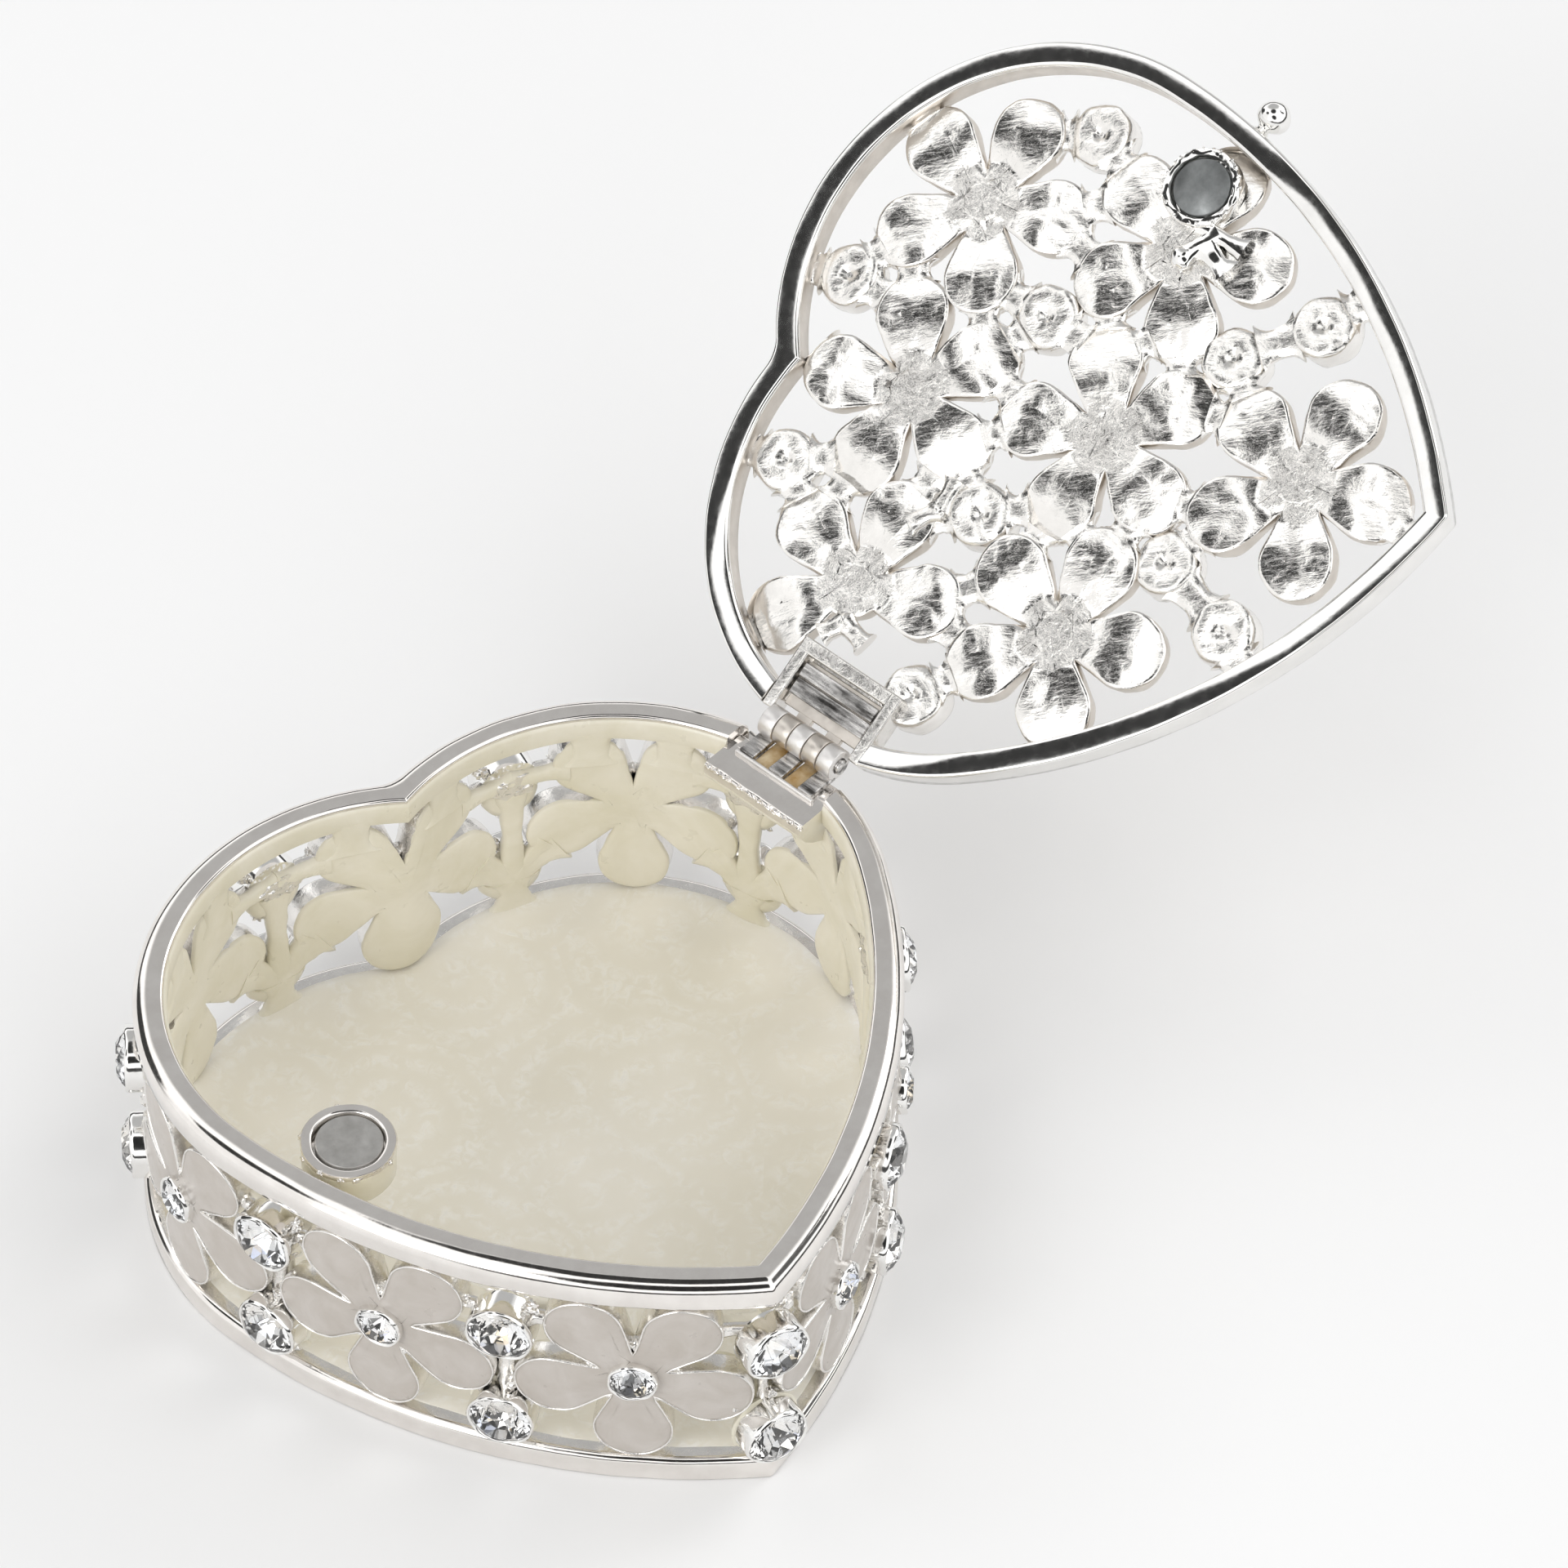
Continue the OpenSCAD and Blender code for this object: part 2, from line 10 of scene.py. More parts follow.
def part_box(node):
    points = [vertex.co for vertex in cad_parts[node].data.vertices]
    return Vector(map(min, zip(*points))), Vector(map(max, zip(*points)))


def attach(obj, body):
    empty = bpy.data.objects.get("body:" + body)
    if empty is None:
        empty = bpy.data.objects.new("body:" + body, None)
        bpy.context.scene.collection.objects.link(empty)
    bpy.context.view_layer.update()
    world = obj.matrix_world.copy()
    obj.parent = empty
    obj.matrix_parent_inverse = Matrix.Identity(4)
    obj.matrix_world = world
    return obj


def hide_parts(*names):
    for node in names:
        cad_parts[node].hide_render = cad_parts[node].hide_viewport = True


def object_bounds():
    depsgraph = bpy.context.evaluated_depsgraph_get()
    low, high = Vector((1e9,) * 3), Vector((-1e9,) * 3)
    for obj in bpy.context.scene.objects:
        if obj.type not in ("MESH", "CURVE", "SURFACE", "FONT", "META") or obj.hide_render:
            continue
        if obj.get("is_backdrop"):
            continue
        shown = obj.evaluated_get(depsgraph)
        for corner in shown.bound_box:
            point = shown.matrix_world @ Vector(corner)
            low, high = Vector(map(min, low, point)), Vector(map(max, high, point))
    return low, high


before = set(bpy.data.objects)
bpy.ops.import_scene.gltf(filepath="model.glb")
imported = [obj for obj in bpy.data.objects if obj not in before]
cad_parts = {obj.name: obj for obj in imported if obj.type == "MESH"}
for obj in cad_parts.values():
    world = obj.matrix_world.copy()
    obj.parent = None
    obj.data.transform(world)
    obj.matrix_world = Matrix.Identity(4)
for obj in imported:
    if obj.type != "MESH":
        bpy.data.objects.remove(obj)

cad_lo, cad_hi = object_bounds()
MM = 0.001
scene = bpy.context.scene
rad = radians
noise.seed_set(7)  # its vectors take their seed from the clock otherwise

# ---- shared numbers, in mm
# heart: radii of the lobes and of the long sides, and the turn at which they meet
LOBE_R, SIDE_R, TURN = 21.3, 53.5, rad(18.4)
LOBE_X = 30 - LOBE_R
SIDE_X = (SIDE_R - LOBE_R) * cos(TURN) - LOBE_X
SIDE_Y = (SIDE_R - LOBE_R) * sin(TURN)
TIP_Y = SIDE_Y - sqrt(SIDE_R**2 - SIDE_X**2)
TIP_T = atan2(TIP_Y - SIDE_Y, SIDE_X)
CUSP_Y = sqrt(LOBE_R**2 - LOBE_X**2)
SIDE_LEN = SIDE_R * (-TURN - TIP_T)
HALF = SIDE_LEN + LOBE_R * (atan2(CUSP_Y, -LOBE_X) + TURN)
# box: heights of its parts, the rim's width, how far the wall stands in, the wall's thickness
RIM_BOT, RIM_TOP = (corner.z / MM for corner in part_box("mouth_rim"))
FOOT_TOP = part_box("foot_ring")[1].z / MM
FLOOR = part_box("floor_enamel")[1].z / MM
RIM_W, SET, WALL_T = 2.4, 0.4, 1.7
HINGE_GAP = 5  # half of the rims' gap for the hinge
FLOWER_Z = (FOOT_TOP + RIM_BOT) / 2 + 0.55
UPPER_Z, LOWER_Z = 15.7, 5.6
# distances from the tip, along the outline; the left half is negative
FLOWER_S = [10.5, 30.2, 50, 71.9, HALF, -71.9, -50, -30.2, -10.5]
POST_S = [0, 20.4, 40.1, 61.3, 82.7, -82.7, -61.3, -40.1, -20.4]
# lid, as it lies closed
RING_Z = RIM_TOP + 0.15
RING_TOP = RING_Z + 2.6
LID_FACE = RING_TOP + 0.1
LID_BACK = LID_FACE - 1.4
LID_FLOWERS = [(0, 7.9, 90), (0, -9.1, 90), (0, -25.6, -90), (-16, 7.2, -90),
               (-15.8, -10.3, -90), (16, 7.2, -90), (15.8, -10.3, -90)]
RIGHT_STONES = [(7.8, 16.3), (23.3, -0.5), (8.2, -1.1), (8.4, -17.2), (12.5, -23.5)]
LID_STONES = RIGHT_STONES + [(-x, y) for x, y in RIGHT_STONES]
# stones: radii of the large and the small ones, and how far a cup's wall stands round them
STONE_R, SMALL_R, BEZEL = 2.42, 1.72, 0.24
# hinge and latch
HT = rad(17.2)
HINGE_OUT = np.array([cos(HT), sin(HT), 0])
AXIS = np.array([-sin(HT), cos(HT), 0])
PIN = np.array([LOBE_X, 0, RIM_TOP + 0.45]) + (LOBE_R + 0.2) * HINGE_OUT
OPEN = rad(146)
LATCH = rad(26.2)
LATCH_OUT = -np.array([cos(LATCH), sin(LATCH)])
MAG = np.array([SIDE_X, SIDE_Y]) + (SIDE_R - 6.65) * LATCH_OUT


def turned(v):
    """Points of the closed lid, moved to where the lid stands open."""
    d = v - PIN
    return PIN + d * cos(OPEN) + np.cross(AXIS, d) * sin(OPEN) + np.outer(d @ AXIS, AXIS) * (1 - cos(OPEN))


# ---- mesh helpers
class Bag:
    """Vertices and faces of one object, gathered piece by piece."""

    def __init__(self, place=None):
        self.v, self.f, self.m, self.n, self.place = [], [], [], 0, place

    def add(self, verts, faces, mat=0):
        self.v.append(verts)
        self.f += [tuple(i + self.n for i in q) for q in faces]
        self.m += [mat] * len(faces) if isinstance(mat, int) else list(mat)
        self.n += len(verts)

    def piece(self, part, place=None, shake=None, mat=0):
        """Adds points and faces, roughened by shake (size, amount, seed) and then moved by place."""
        v, f = part
        if shake:
            v = wobble(v, *shake)
        place = place or self.place
        self.add(place(v) if place else v, f, mat)

    def build(self, name, body, mats, nodes, slot, sharp=40, flat=False, fix=True):
        v = np.concatenate(self.v)
        if body == "lid":
            v = turned(v)
        me = bpy.data.meshes.new(name)
        me.from_pydata((v * MM).tolist(), [], self.f)
        me.validate()
        for m in mats:
            me.materials.append(m)
        me.polygons.foreach_set("material_index", self.m)
        if fix:
            bm = bmesh.new()
            bm.from_mesh(me)
            bmesh.ops.recalc_face_normals(bm, faces=bm.faces)
            bm.to_mesh(me)
            bm.free()
        me.polygons.foreach_set("use_smooth", [not flat] * len(me.polygons))
        if not flat:
            me.set_sharp_from_angle(angle=rad(sharp))
        me.update()
        ob = bpy.data.objects.new(name, me)
        scene.collection.objects.link(ob)
        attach(ob, body)
        if nodes:
            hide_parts(*nodes)
        return ob


def grid(rows, cols, wrap_rows=False, wrap_cols=False):
    """Faces between rows of points."""
    out = []
    for a in range(rows if wrap_rows else rows - 1):
        for c in range(cols if wrap_cols else cols - 1):
            b, d = (a + 1) % rows, (c + 1) % cols
            out.append((a * cols + c, a * cols + d, b * cols + d, b * cols + c))
    return out


def stacked(rows):
    """Loops of equal length joined into a body, with a cap at each end."""
    n, m = len(rows), len(rows[0])
    caps = [tuple(range(m))[::-1], tuple(range((n - 1) * m, n * m))]
    return np.concatenate(rows), grid(n, m, wrap_cols=True) + caps


def wobble(v, size, amount, seed=0):
    """Moves points a little along a smooth noise, so that cast pieces aren't perfect."""
    off = Vector((seed * 1.7, seed * 2.3, seed * 3.1))
    return v + amount * np.array([noise.noise_vector(Vector(p) / size + off) for p in v])


def arc(x, y, r, angles):
    return [(x + r * cos(a), y + r * sin(a)) for a in angles]


def lathe(profile, segs=40):
    """Profile points (r, z) turned round Z; ends on the axis close the shape."""
    turns = np.linspace(0, 2 * pi, segs, endpoint=False)
    v, f, rows = [], [], []
    for r, z in profile:
        ring = [(x, y, z) for x, y in arc(0, 0, r, turns)] if r > 1e-6 else [(0, 0, z)]
        rows.append(range(len(v), len(v) + len(ring)))
        v += ring
    for p, q in zip(rows, rows[1:]):
        for j in range(segs):
            k = (j + 1) % segs
            if len(p) == 1:
                f.append((p[0], q[j], q[k]))
            elif len(q) == 1:
                f.append((p[j], q[0], p[k]))
            else:
                f.append((p[j], q[j], q[k], p[k]))
    return np.array(v), f


def rounded_box(lo, hi, r, n=3):
    """Closed box with rounded edges, as loops of rounded rectangles stacked in Z."""
    lo, hi = np.array(lo, float), np.array(hi, float)
    r = min(r, *(0.49 * (hi - lo)))
    quarter = np.linspace(0, pi / 2, n + 1)
    stack = [(lo[2] + r * (1 - sin(t)), r * (1 - cos(t))) for t in quarter[::-1]]
    stack += [(hi[2] - r * (1 - sin(t)), r * (1 - cos(t))) for t in quarter]
    rows = []
    for z, inset in stack:
        q = max(r - inset, 1e-4)
        x0, y0, x1, y1 = lo[0] + inset + q, lo[1] + inset + q, hi[0] - inset - q, hi[1] - inset - q
        rows.append([(x, y, z) for cx, cy, first in ((x1, y1, 0), (x0, y1, 90), (x0, y0, 180), (x1, y0, 270))
                     for x, y in arc(cx, cy, q, np.radians(first) + quarter)])
    return stacked(rows)


_ico = bmesh.new()
bmesh.ops.create_icosphere(_ico, subdivisions=3, radius=1)
ICO_V = [v.co.copy() for v in _ico.verts]
ICO_F = [tuple(v.index for v in f.verts) for f in _ico.faces]
_ico.free()


def moved(x, y, z=0):
    """A placing that only moves."""
    return lambda v: v + np.array([x, y, z])


def blob(centre, radii, seed, rough=0.3):
    """A rough lump of cast metal."""
    off = Vector((seed * 5.1, seed * 3.7, seed * 1.9))
    k = np.array([[1 + rough * (noise.noise(p * 1.6 + off) + 0.35 * noise.noise(p * 4.5 + off))]
                  for p in ICO_V])
    return np.array(ICO_V) * k * np.array(radii) + np.array(centre), ICO_F


# ---- heart outline
def half_path(inset, notch=4, tip=0, gap=None):
    """Right half of the heart from its tip to its notch, as one or two runs of points."""
    side, lobe = SIDE_R - inset, LOBE_R - inset
    notch = max(notch, 1e-3)
    tip_y = SIDE_Y - sqrt((side - tip) ** 2 - SIDE_X**2)
    tip_turn = -acos(SIDE_X / (side - tip))
    notch_y = sqrt((lobe + notch) ** 2 - LOBE_X**2)
    notch_turn = atan2(notch_y, -LOBE_X)
    start = -TURN
    runs = [arc(0, tip_y, tip, np.linspace(-pi / 2, tip_turn, 7)[:-1]) if tip > 0 else []]
    runs[0] += arc(-SIDE_X, SIDE_Y, side, np.linspace(tip_turn, -TURN, 56)[:-1])
    if gap:
        half = asin(gap / lobe)
        runs[0] += arc(LOBE_X, 0, lobe, np.linspace(-TURN, HT - half, 12))
        runs.append([])
        start = HT + half
    runs[-1] += arc(LOBE_X, 0, lobe, np.linspace(start, notch_turn, 72))
    runs[-1] += arc(0, notch_y, notch, np.linspace(notch_turn - pi, -pi / 2, 9)[1:])
    return [np.array(r) for r in runs]


def heart_loop(inset, notch=4, tip=0, gap=None):
    """The whole outline. With a gap for the hinge it's an open run that starts and ends at the gap."""
    right = half_path(inset, notch, tip)[0]
    left = right[::-1] * np.array([-1, 1])
    if not gap:
        return np.concatenate([right, left[1:-1]])
    low, high = half_path(inset, notch, tip, gap)
    return np.concatenate([high, left[1:], low[1:]])


def sweep(bag, profile, shake, seed=1, gap=None, pick=None, lean=None):
    """Carries a closed profile [(inset, z, notch radius, tip radius)] round the heart. pick gives the
    material of a segment of the profile, lean a height to add at each point."""
    rows = []
    for inset, z, notch, tip in profile:
        p = heart_loop(inset, notch, tip, gap)
        rows.append(np.column_stack([p, z + (lean(p, inset, z) if lean else np.zeros(len(p)))]))
    n, m = len(rows), len(rows[0])
    f = grid(n, m, wrap_rows=True, wrap_cols=not gap)
    mats = [0] * len(f)
    if pick:
        mats = []
        for a, b in zip(profile, profile[1:] + profile[:1]):
            mats += [pick((a[0] + b[0]) / 2, (a[1] + b[1]) / 2)] * (m - 1 if gap else m)
    if gap:
        f += [tuple(i * m for i in range(n)), tuple(i * m + m - 1 for i in range(n))[::-1]]
        mats += [0, 0]
    bag.add(wobble(np.concatenate(rows), 3, shake, seed), f, mats)


def ring_profile(w, z0, z1, ro, ri, n=5, low_o=0.15, low_i=0.1, crown=0, rz=None):
    """Section of a rim, w wide, from z0 to z1. At z1 its outer edge is rounded by ro (rz in height) and its
    inner edge by ri, at z0 by low_o and low_i."""
    up = 1 if z1 > z0 else -1
    low_turns = np.linspace(0, pi / 2, 3)
    pts = [(low_o * (1 - sin(a)), z0 + up * low_o * (1 - cos(a))) for a in low_turns]
    pts += [(ro * (1 - cos(a)), z1 - up * (rz or ro) * (1 - sin(a))) for a in np.linspace(0, pi / 2, n + 1)]
    for k in (0.17, 0.33, 0.5, 0.67, 0.83) if crown else ():
        pts.append((ro + (w - ro - ri) * k, z1 + up * crown * sin(pi * k)))
    pts += [(w - ri * (1 - sin(a)), z1 - up * ri * (1 - cos(a))) for a in np.linspace(0, pi / 2, n)]
    pts += [(w - low_i * (1 - cos(a)), z0 + up * low_i * (1 - sin(a))) for a in low_turns]
    out = []
    for inset, z in pts:
        k = 1 - min(1, max(0, inset / w))
        out.append((inset, z, 4 * k**1.5 + 0.12, 0.5 * k + 0.12))
    return out


# ---- places on the wall
def wall_arc(s):
    """Centre, radius and angle on the outline at a distance from the tip; the left half mirrors the right."""
    if abs(s) < SIDE_LEN:
        c, r, a = np.array([-SIDE_X, SIDE_Y]), SIDE_R, TIP_T + abs(s) / SIDE_R
    else:
        c, r, a = np.array([LOBE_X, 0]), LOBE_R, -TURN + (abs(s) - SIDE_LEN) / LOBE_R
    return (c * np.array([-1, 1]), r, pi - a) if s < 0 else (c, r, a)


def rigid_map(s):
    """(along, height, out) to the row frame, straight."""
    if abs(s) > HALF - 0.01:
        p, n = np.array([0, CUSP_Y]), np.array([0, 1])
    elif abs(s) < 0.01:
        p, n = np.array([0, TIP_Y]), np.array([0, -1])
    else:
        c, r, a = wall_arc(s)
        n = np.array([cos(a), sin(a)])
        p = c + r * n
    t = np.array([-n[1], n[0]])
    return lambda v: np.column_stack([p + np.outer(v[:, 0], t) + np.outer(v[:, 2], n), v[:, 1]])


def wall_map(s):
    """(along, height, out from the wall's face) to the row frame, bent with the wall."""

    def at_notch(v):
        x, h, d = v.T
        r, q = LOBE_R - SET, 3
        ax = np.abs(x)
        inner = ax < LOBE_X * q / (r + q)
        y = np.where(inner, sqrt((r + q) ** 2 - LOBE_X**2) - np.sqrt(np.maximum(q * q - x * x, 0)),
                     np.sqrt(np.maximum(r * r - (ax - LOBE_X) ** 2, 0)))
        nx = np.where(inner, -x / q, np.sign(x) * (ax - LOBE_X) / r)
        return np.column_stack([-(x + nx * d), y + np.sqrt(1 - nx * nx) * d, h])

    def at_tip(v):
        x, h, d = v.T
        r = SIDE_R - SET
        a = -np.arccos(np.minimum((np.sqrt(x * x + 0.3) + SIDE_X) / r, 1))
        across = np.sign(x) * np.cos(a) * np.minimum(np.abs(x), 1)
        return np.column_stack([x + across * d, SIDE_Y + (r + d) * np.sin(a), h])

    def on_arc(v):
        x, h, d = v.T
        c, r, first = wall_arc(s)
        a = first + np.arcsin(np.clip(x / (r - SET), -1, 1))
        return np.column_stack([c[0] + (r - SET + d) * np.cos(a), c[1] + (r - SET + d) * np.sin(a), h])

    if abs(s) > HALF - 0.01:
        return at_notch
    return at_tip if abs(s) < 0.01 else on_arc


# ---- flower shapes
REACH, PETAL_R = 9.3, 3.05
FORK_R = 2.75  # where two petals part


def bezier(p0, p1, p2, p3, n):
    t = np.linspace(0, 1, n)[:, None]
    return (1 - t) ** 3 * p0 + 3 * (1 - t) ** 2 * t * p1 + 3 * (1 - t) * t * t * p2 + t**3 * p3


def petal_run():
    """Half a V, the round end and half the next V, about +X."""
    a = np.radians(np.linspace(-112, 112, 31))
    end = np.column_stack([REACH - PETAL_R + PETAL_R * np.cos(a), PETAL_R * np.sin(a)])
    fork = FORK_R * np.array([cos(rad(36)), sin(rad(36))])
    leave = end[-1] + np.array([-sin(a[-1]), cos(a[-1])])
    flank = bezier(end[-1], leave, np.array([2.95, 1.92]), fork, 8)[1:]
    return np.concatenate([flank[::-1] * np.array([1, -1]), end, flank[:-1]])


PETAL = petal_run()


def flower_outline(first, skip=-1):
    """Outline of five petals, one of them towards first; the petal numbered skip is left out."""
    runs = []
    for i in range(5):
        turn = first + 72 * i
        if i == skip:
            a = np.radians(np.linspace(-36, 36, 12)[:-1] + turn)
            runs.append(FORK_R * np.column_stack([np.cos(a), np.sin(a)]))
        else:
            c, s = cos(rad(turn)), sin(rad(turn))
            runs.append(PETAL @ np.array([[c, s], [-s, c]]))
    return np.concatenate(runs)


def offset_in(loop, d):
    nxt, prv = np.roll(loop, -1, 0), np.roll(loop, 1, 0)
    t = nxt - prv
    t /= np.linalg.norm(t, axis=1)[:, None]
    n = np.column_stack([-t[:, 1], t[:, 0]])
    return loop + n * d


def dist_to(loop, pts):
    a, b = loop, np.roll(loop, -1, 0)
    ab = b - a
    out = np.full(len(pts), 1e9)
    for i in range(0, len(pts), 400):
        p = pts[i:i + 400, None, :]
        t = np.clip(((p - a) * ab).sum(-1) / (ab * ab).sum(-1), 0, 1)
        q = a + ab * t[..., None]
        out[i:i + 400] = np.linalg.norm(p - q, axis=-1).min(1)
    return out


HOLE = 1.6


def disc_rings(loop, offsets):
    """Rings from a star shaped outline to its centre: points, distance to the outline, faces."""
    rings = [offset_in(loop, d) for d in offsets]
    last = rings[-1]
    unit = last / np.linalg.norm(last, axis=1)[:, None]
    rings += [last * (1 - k) + unit * 1.95 * k for k in (0.18, 0.36, 0.54, 0.7, 0.85, 1)]
    rings += [unit * HOLE, unit * (HOLE - 0.25), unit * 0.6]
    m = len(loop)
    p = np.concatenate(rings + [np.zeros((1, 2))])
    inner = (len(rings) - 1) * m
    f = grid(len(rings), m, wrap_cols=True)
    f += [(inner + j, inner + (j + 1) % m, len(p) - 1) for j in range(m)]
    return p, dist_to(loop, p), f


def sink(p, depth=1.35):
    """How far the middle is sunk to let the stone's point in."""
    return depth * np.clip((HOLE + 0.02 - np.linalg.norm(p, axis=1)) / 0.25, 0, 1)


def slab(loop, offs_front, front, offs_back, back, mids=()):
    """A closed plate. front and back give height from the distance to the edge and the place; mids are
    loops (out, z) round its edge. Also returns the number of faces in front and at the back."""
    pf, df, ff = disc_rings(loop, offs_front)
    pb, db, fb = disc_rings(loop, offs_back)
    m = len(loop)
    v = [np.column_stack([pf, front(df, pf)]), np.column_stack([pb, back(db, pb)])]
    f = ff + [tuple(i + len(pf) for i in q[::-1]) for q in fb]
    chain = [0]
    for i, (out, z) in enumerate(mids):
        v.append(np.column_stack([offset_in(loop, -out), np.full(m, z)]))
        chain.append(len(pf) + len(pb) + i * m)
    chain.append(len(pf))
    for a, b in zip(chain, chain[1:]):
        f += [(a + j, b + j, b + (j + 1) % m, a + (j + 1) % m) for j in range(m)]
    return np.concatenate(v), f, (len(ff), len(fb))


def bar(p, q, w, z0, z1, seed, waist=0.78, n=9):
    """A cast stem between two points of a plane: rounded section, narrow waist, flared ends."""
    p, q = np.asarray(p, float), np.asarray(q, float)
    side = np.array([p[1] - q[1], q[0] - p[0]]) / np.linalg.norm(q - p)
    rnd = random.Random(seed)
    a = np.linspace(0, 2 * pi, 14, endpoint=False)
    wide, high = (np.sign(x) * np.abs(x) ** 0.75 for x in (np.cos(a), np.sin(a)))
    rows = []
    for k in np.linspace(0, 1, n):
        end = abs(2 * k - 1)
        flare = (1 + 0.5 * end**3) * (1 + 0.12 * (rnd.random() - 0.5))
        y = w / 2 * (waist + (1 - waist) * end) * flare * wide
        z = (z0 + z1) / 2 + (z1 - z0) / 2 * (0.86 + 0.14 * end**2) * high
        rows.append(np.column_stack([p + (q - p) * k + np.outer(y, side), z]))
    return stacked(rows)


# ---- stones
def brilliant(r, spin):
    """Round cut stone, girdle at z = 0: table, star, kite and girdle facets, and a pavilion."""
    v, f = [], []

    def ring(n, rr, z, off=0):
        for k in range(n):
            a = 2 * pi * (k + off) / n + spin
            v.append((rr * cos(a), rr * sin(a), z))
        return list(range(len(v) - n, len(v)))

    table = ring(8, 0.52 * r, 0.36 * r, 0.5)
    mid = ring(8, 0.78 * r, 0.22 * r)
    top = ring(16, r, 0.02 * r)
    bot = ring(16, r, -0.05 * r)
    pav = ring(8, 0.44 * r, -0.46 * r, 0.5)
    v.append((0, 0, -0.74 * r))
    tip = len(v) - 1
    f.append(tuple(table))
    for k in range(8):
        nxt, odd, even = (k + 1) % 8, 2 * k + 1, (2 * k + 2) % 16
        f += [(table[k - 1], mid[k], table[k]), (table[k], mid[k], top[odd], mid[nxt]),
              (mid[k], top[2 * k], top[odd]), (mid[nxt], top[odd], top[even])]
    f += [(top[k], bot[k], bot[(k + 1) % 16], top[(k + 1) % 16]) for k in range(16)]
    for k in range(8):
        nxt, odd, even = (k + 1) % 8, 2 * k + 1, (2 * k + 2) % 16
        f += [(bot[2 * k], pav[k], bot[odd]), (bot[odd], pav[k], bot[even]),
              (bot[even], pav[k], pav[nxt]), (pav[k], tip, pav[nxt])]
    return np.array(v), f


def foil_cone(r, spin, seed):
    """Facets of the bright backing, just outside the pavilion, and a random level for each, used as painted
    sparkle.
    """
    v, f = brilliant(r * 1.012, spin)
    f = [q for q in f if sum(v[i][2] for i in q) / len(q) < -0.1 * r]
    rnd = random.Random(seed)
    return v - np.array([0, 0, 0.02]), f, [rnd.random() for _ in f]


def setting(r, depth, seed, dome=False, flat=False):
    """Cup round a stone, girdle at z = 0, open at the top, with a soft uneven lip."""
    wall = r + BEZEL
    prof = [(0, -depth + 0.05)]
    if dome:
        prof = [(0, -depth - 0.25), (r * 0.5, -depth - 0.18), (wall - 0.5, -depth + 0.1)]
    if flat:
        prof = [(0, -depth + 0.4), (0.3, -depth + 0.32), (0.55, -depth + 0.08), (r * 0.4, -depth),
                (r * 0.7, -depth - 0.04), (r - 0.25, -depth), (r + 0.02, -depth + 0.1)]
    prof += [(wall - 0.08, -depth + 0.3), (wall - 0.02, -depth + 0.7), (wall - 0.04, -0.4),
             (wall - 0.02, -0.12), (wall - 0.05, 0.08), (r + 0.1, 0.19), (r, 0.15), (r - 0.07, 0.05),
             (r - 0.01, -0.1), (0.5 * r, -0.56 * r), (0, -0.8 * r - 0.1)]
    v, f = lathe(prof, 36)
    rnd = random.Random(seed)
    ph = [rnd.uniform(0, 6.3) for _ in range(3)]
    a = np.arctan2(v[:, 1], v[:, 0])
    lip = np.clip((v[:, 2] + 0.3) / 0.4, 0, 1)
    v[:, 2] += lip * 0.05 * (np.sin(2 * a + ph[0]) + 0.7 * np.sin(5 * a + ph[1]))
    v[:, :2] *= (1 + 0.015 * np.sin(3 * a + ph[2]) + 0.012 * np.sin(7 * a + ph[0]))[:, None]
    return v, f


# ---- materials
class Tree:
    """A node tree with its texture coordinates, and the recipes that the materials share."""

    def __init__(self, nt, coordinates):
        self.nt = nt
        self.co = self.add("TexCoord").outputs[coordinates]

    def put(self, socket, x):
        """Links or sets one input."""
        if isinstance(x, bpy.types.NodeSocket):
            self.nt.links.new(x, socket)
        elif x is not None:
            socket.default_value = (*x, 1) if socket.type == "RGBA" else x

    def feed(self, n, **inputs):
        """Links or sets inputs of a node by name; an underscore stands for a space."""
        for key, x in inputs.items():
            self.put(n.inputs[key.replace("_", " ")], x)

    def add(self, kind, **inputs):
        n = self.nt.nodes.new("ShaderNode" + kind)
        self.feed(n, **inputs)
        return n

    def make(self, kind, out, **inputs):
        return self.add(kind, **inputs).outputs[out]

    def calc(self, operation, *args, kind="Math", out=0):
        n = self.add(kind)
        n.operation = operation
        for socket, x in zip(n.inputs, args):
            self.put(socket, x)
        return n.outputs[out]

    def noise(self, scale, detail=4, rough=0.55, stretch=None, distort=0, turn=None):
        co = self.co
        if turn:
            co = self.make("Mapping", "Vector", Vector=co, Rotation=turn)
        if stretch:
            co = self.make("Mapping", "Vector", Vector=co, Scale=stretch)
        return self.make("TexNoise", "Fac", Vector=co, Scale=scale, Detail=detail, Roughness=rough,
                         Distortion=distort)

    def ramp(self, fac, *stops):
        """Colours (position, rgb) along a value."""
        n = self.add("ValToRGB", Fac=fac)
        points = n.color_ramp.elements
        while len(points) < len(stops):
            points.new(0.5)
        for point, (position, rgb) in zip(points, stops):
            point.position = position
            point.color = (*rgb, 1)
        return n.outputs["Color"]

    def span(self, value, a, b, c, d):
        """A value's range a to b, stretched to c to d."""
        return self.make("MapRange", "Result", Value=value, From_Min=a, From_Max=b, To_Min=c, To_Max=d)

    def bump(self, height, strength, depth, normal=None):
        """Bump of a depth in mm, on top of another."""
        return self.make("Bump", "Normal", Height=height, Strength=strength, Distance=depth * MM,
                         Normal=normal)

    def mix(self, fac, a, b):
        n = self.add("Mix")
        n.data_type = "RGBA"
        self.put(n.inputs[0], fac)
        for socket, x in zip([s for s in n.inputs if s.type == "RGBA"], (a, b)):
            self.put(socket, x)
        return [s for s in n.outputs if s.type == "RGBA"][0]


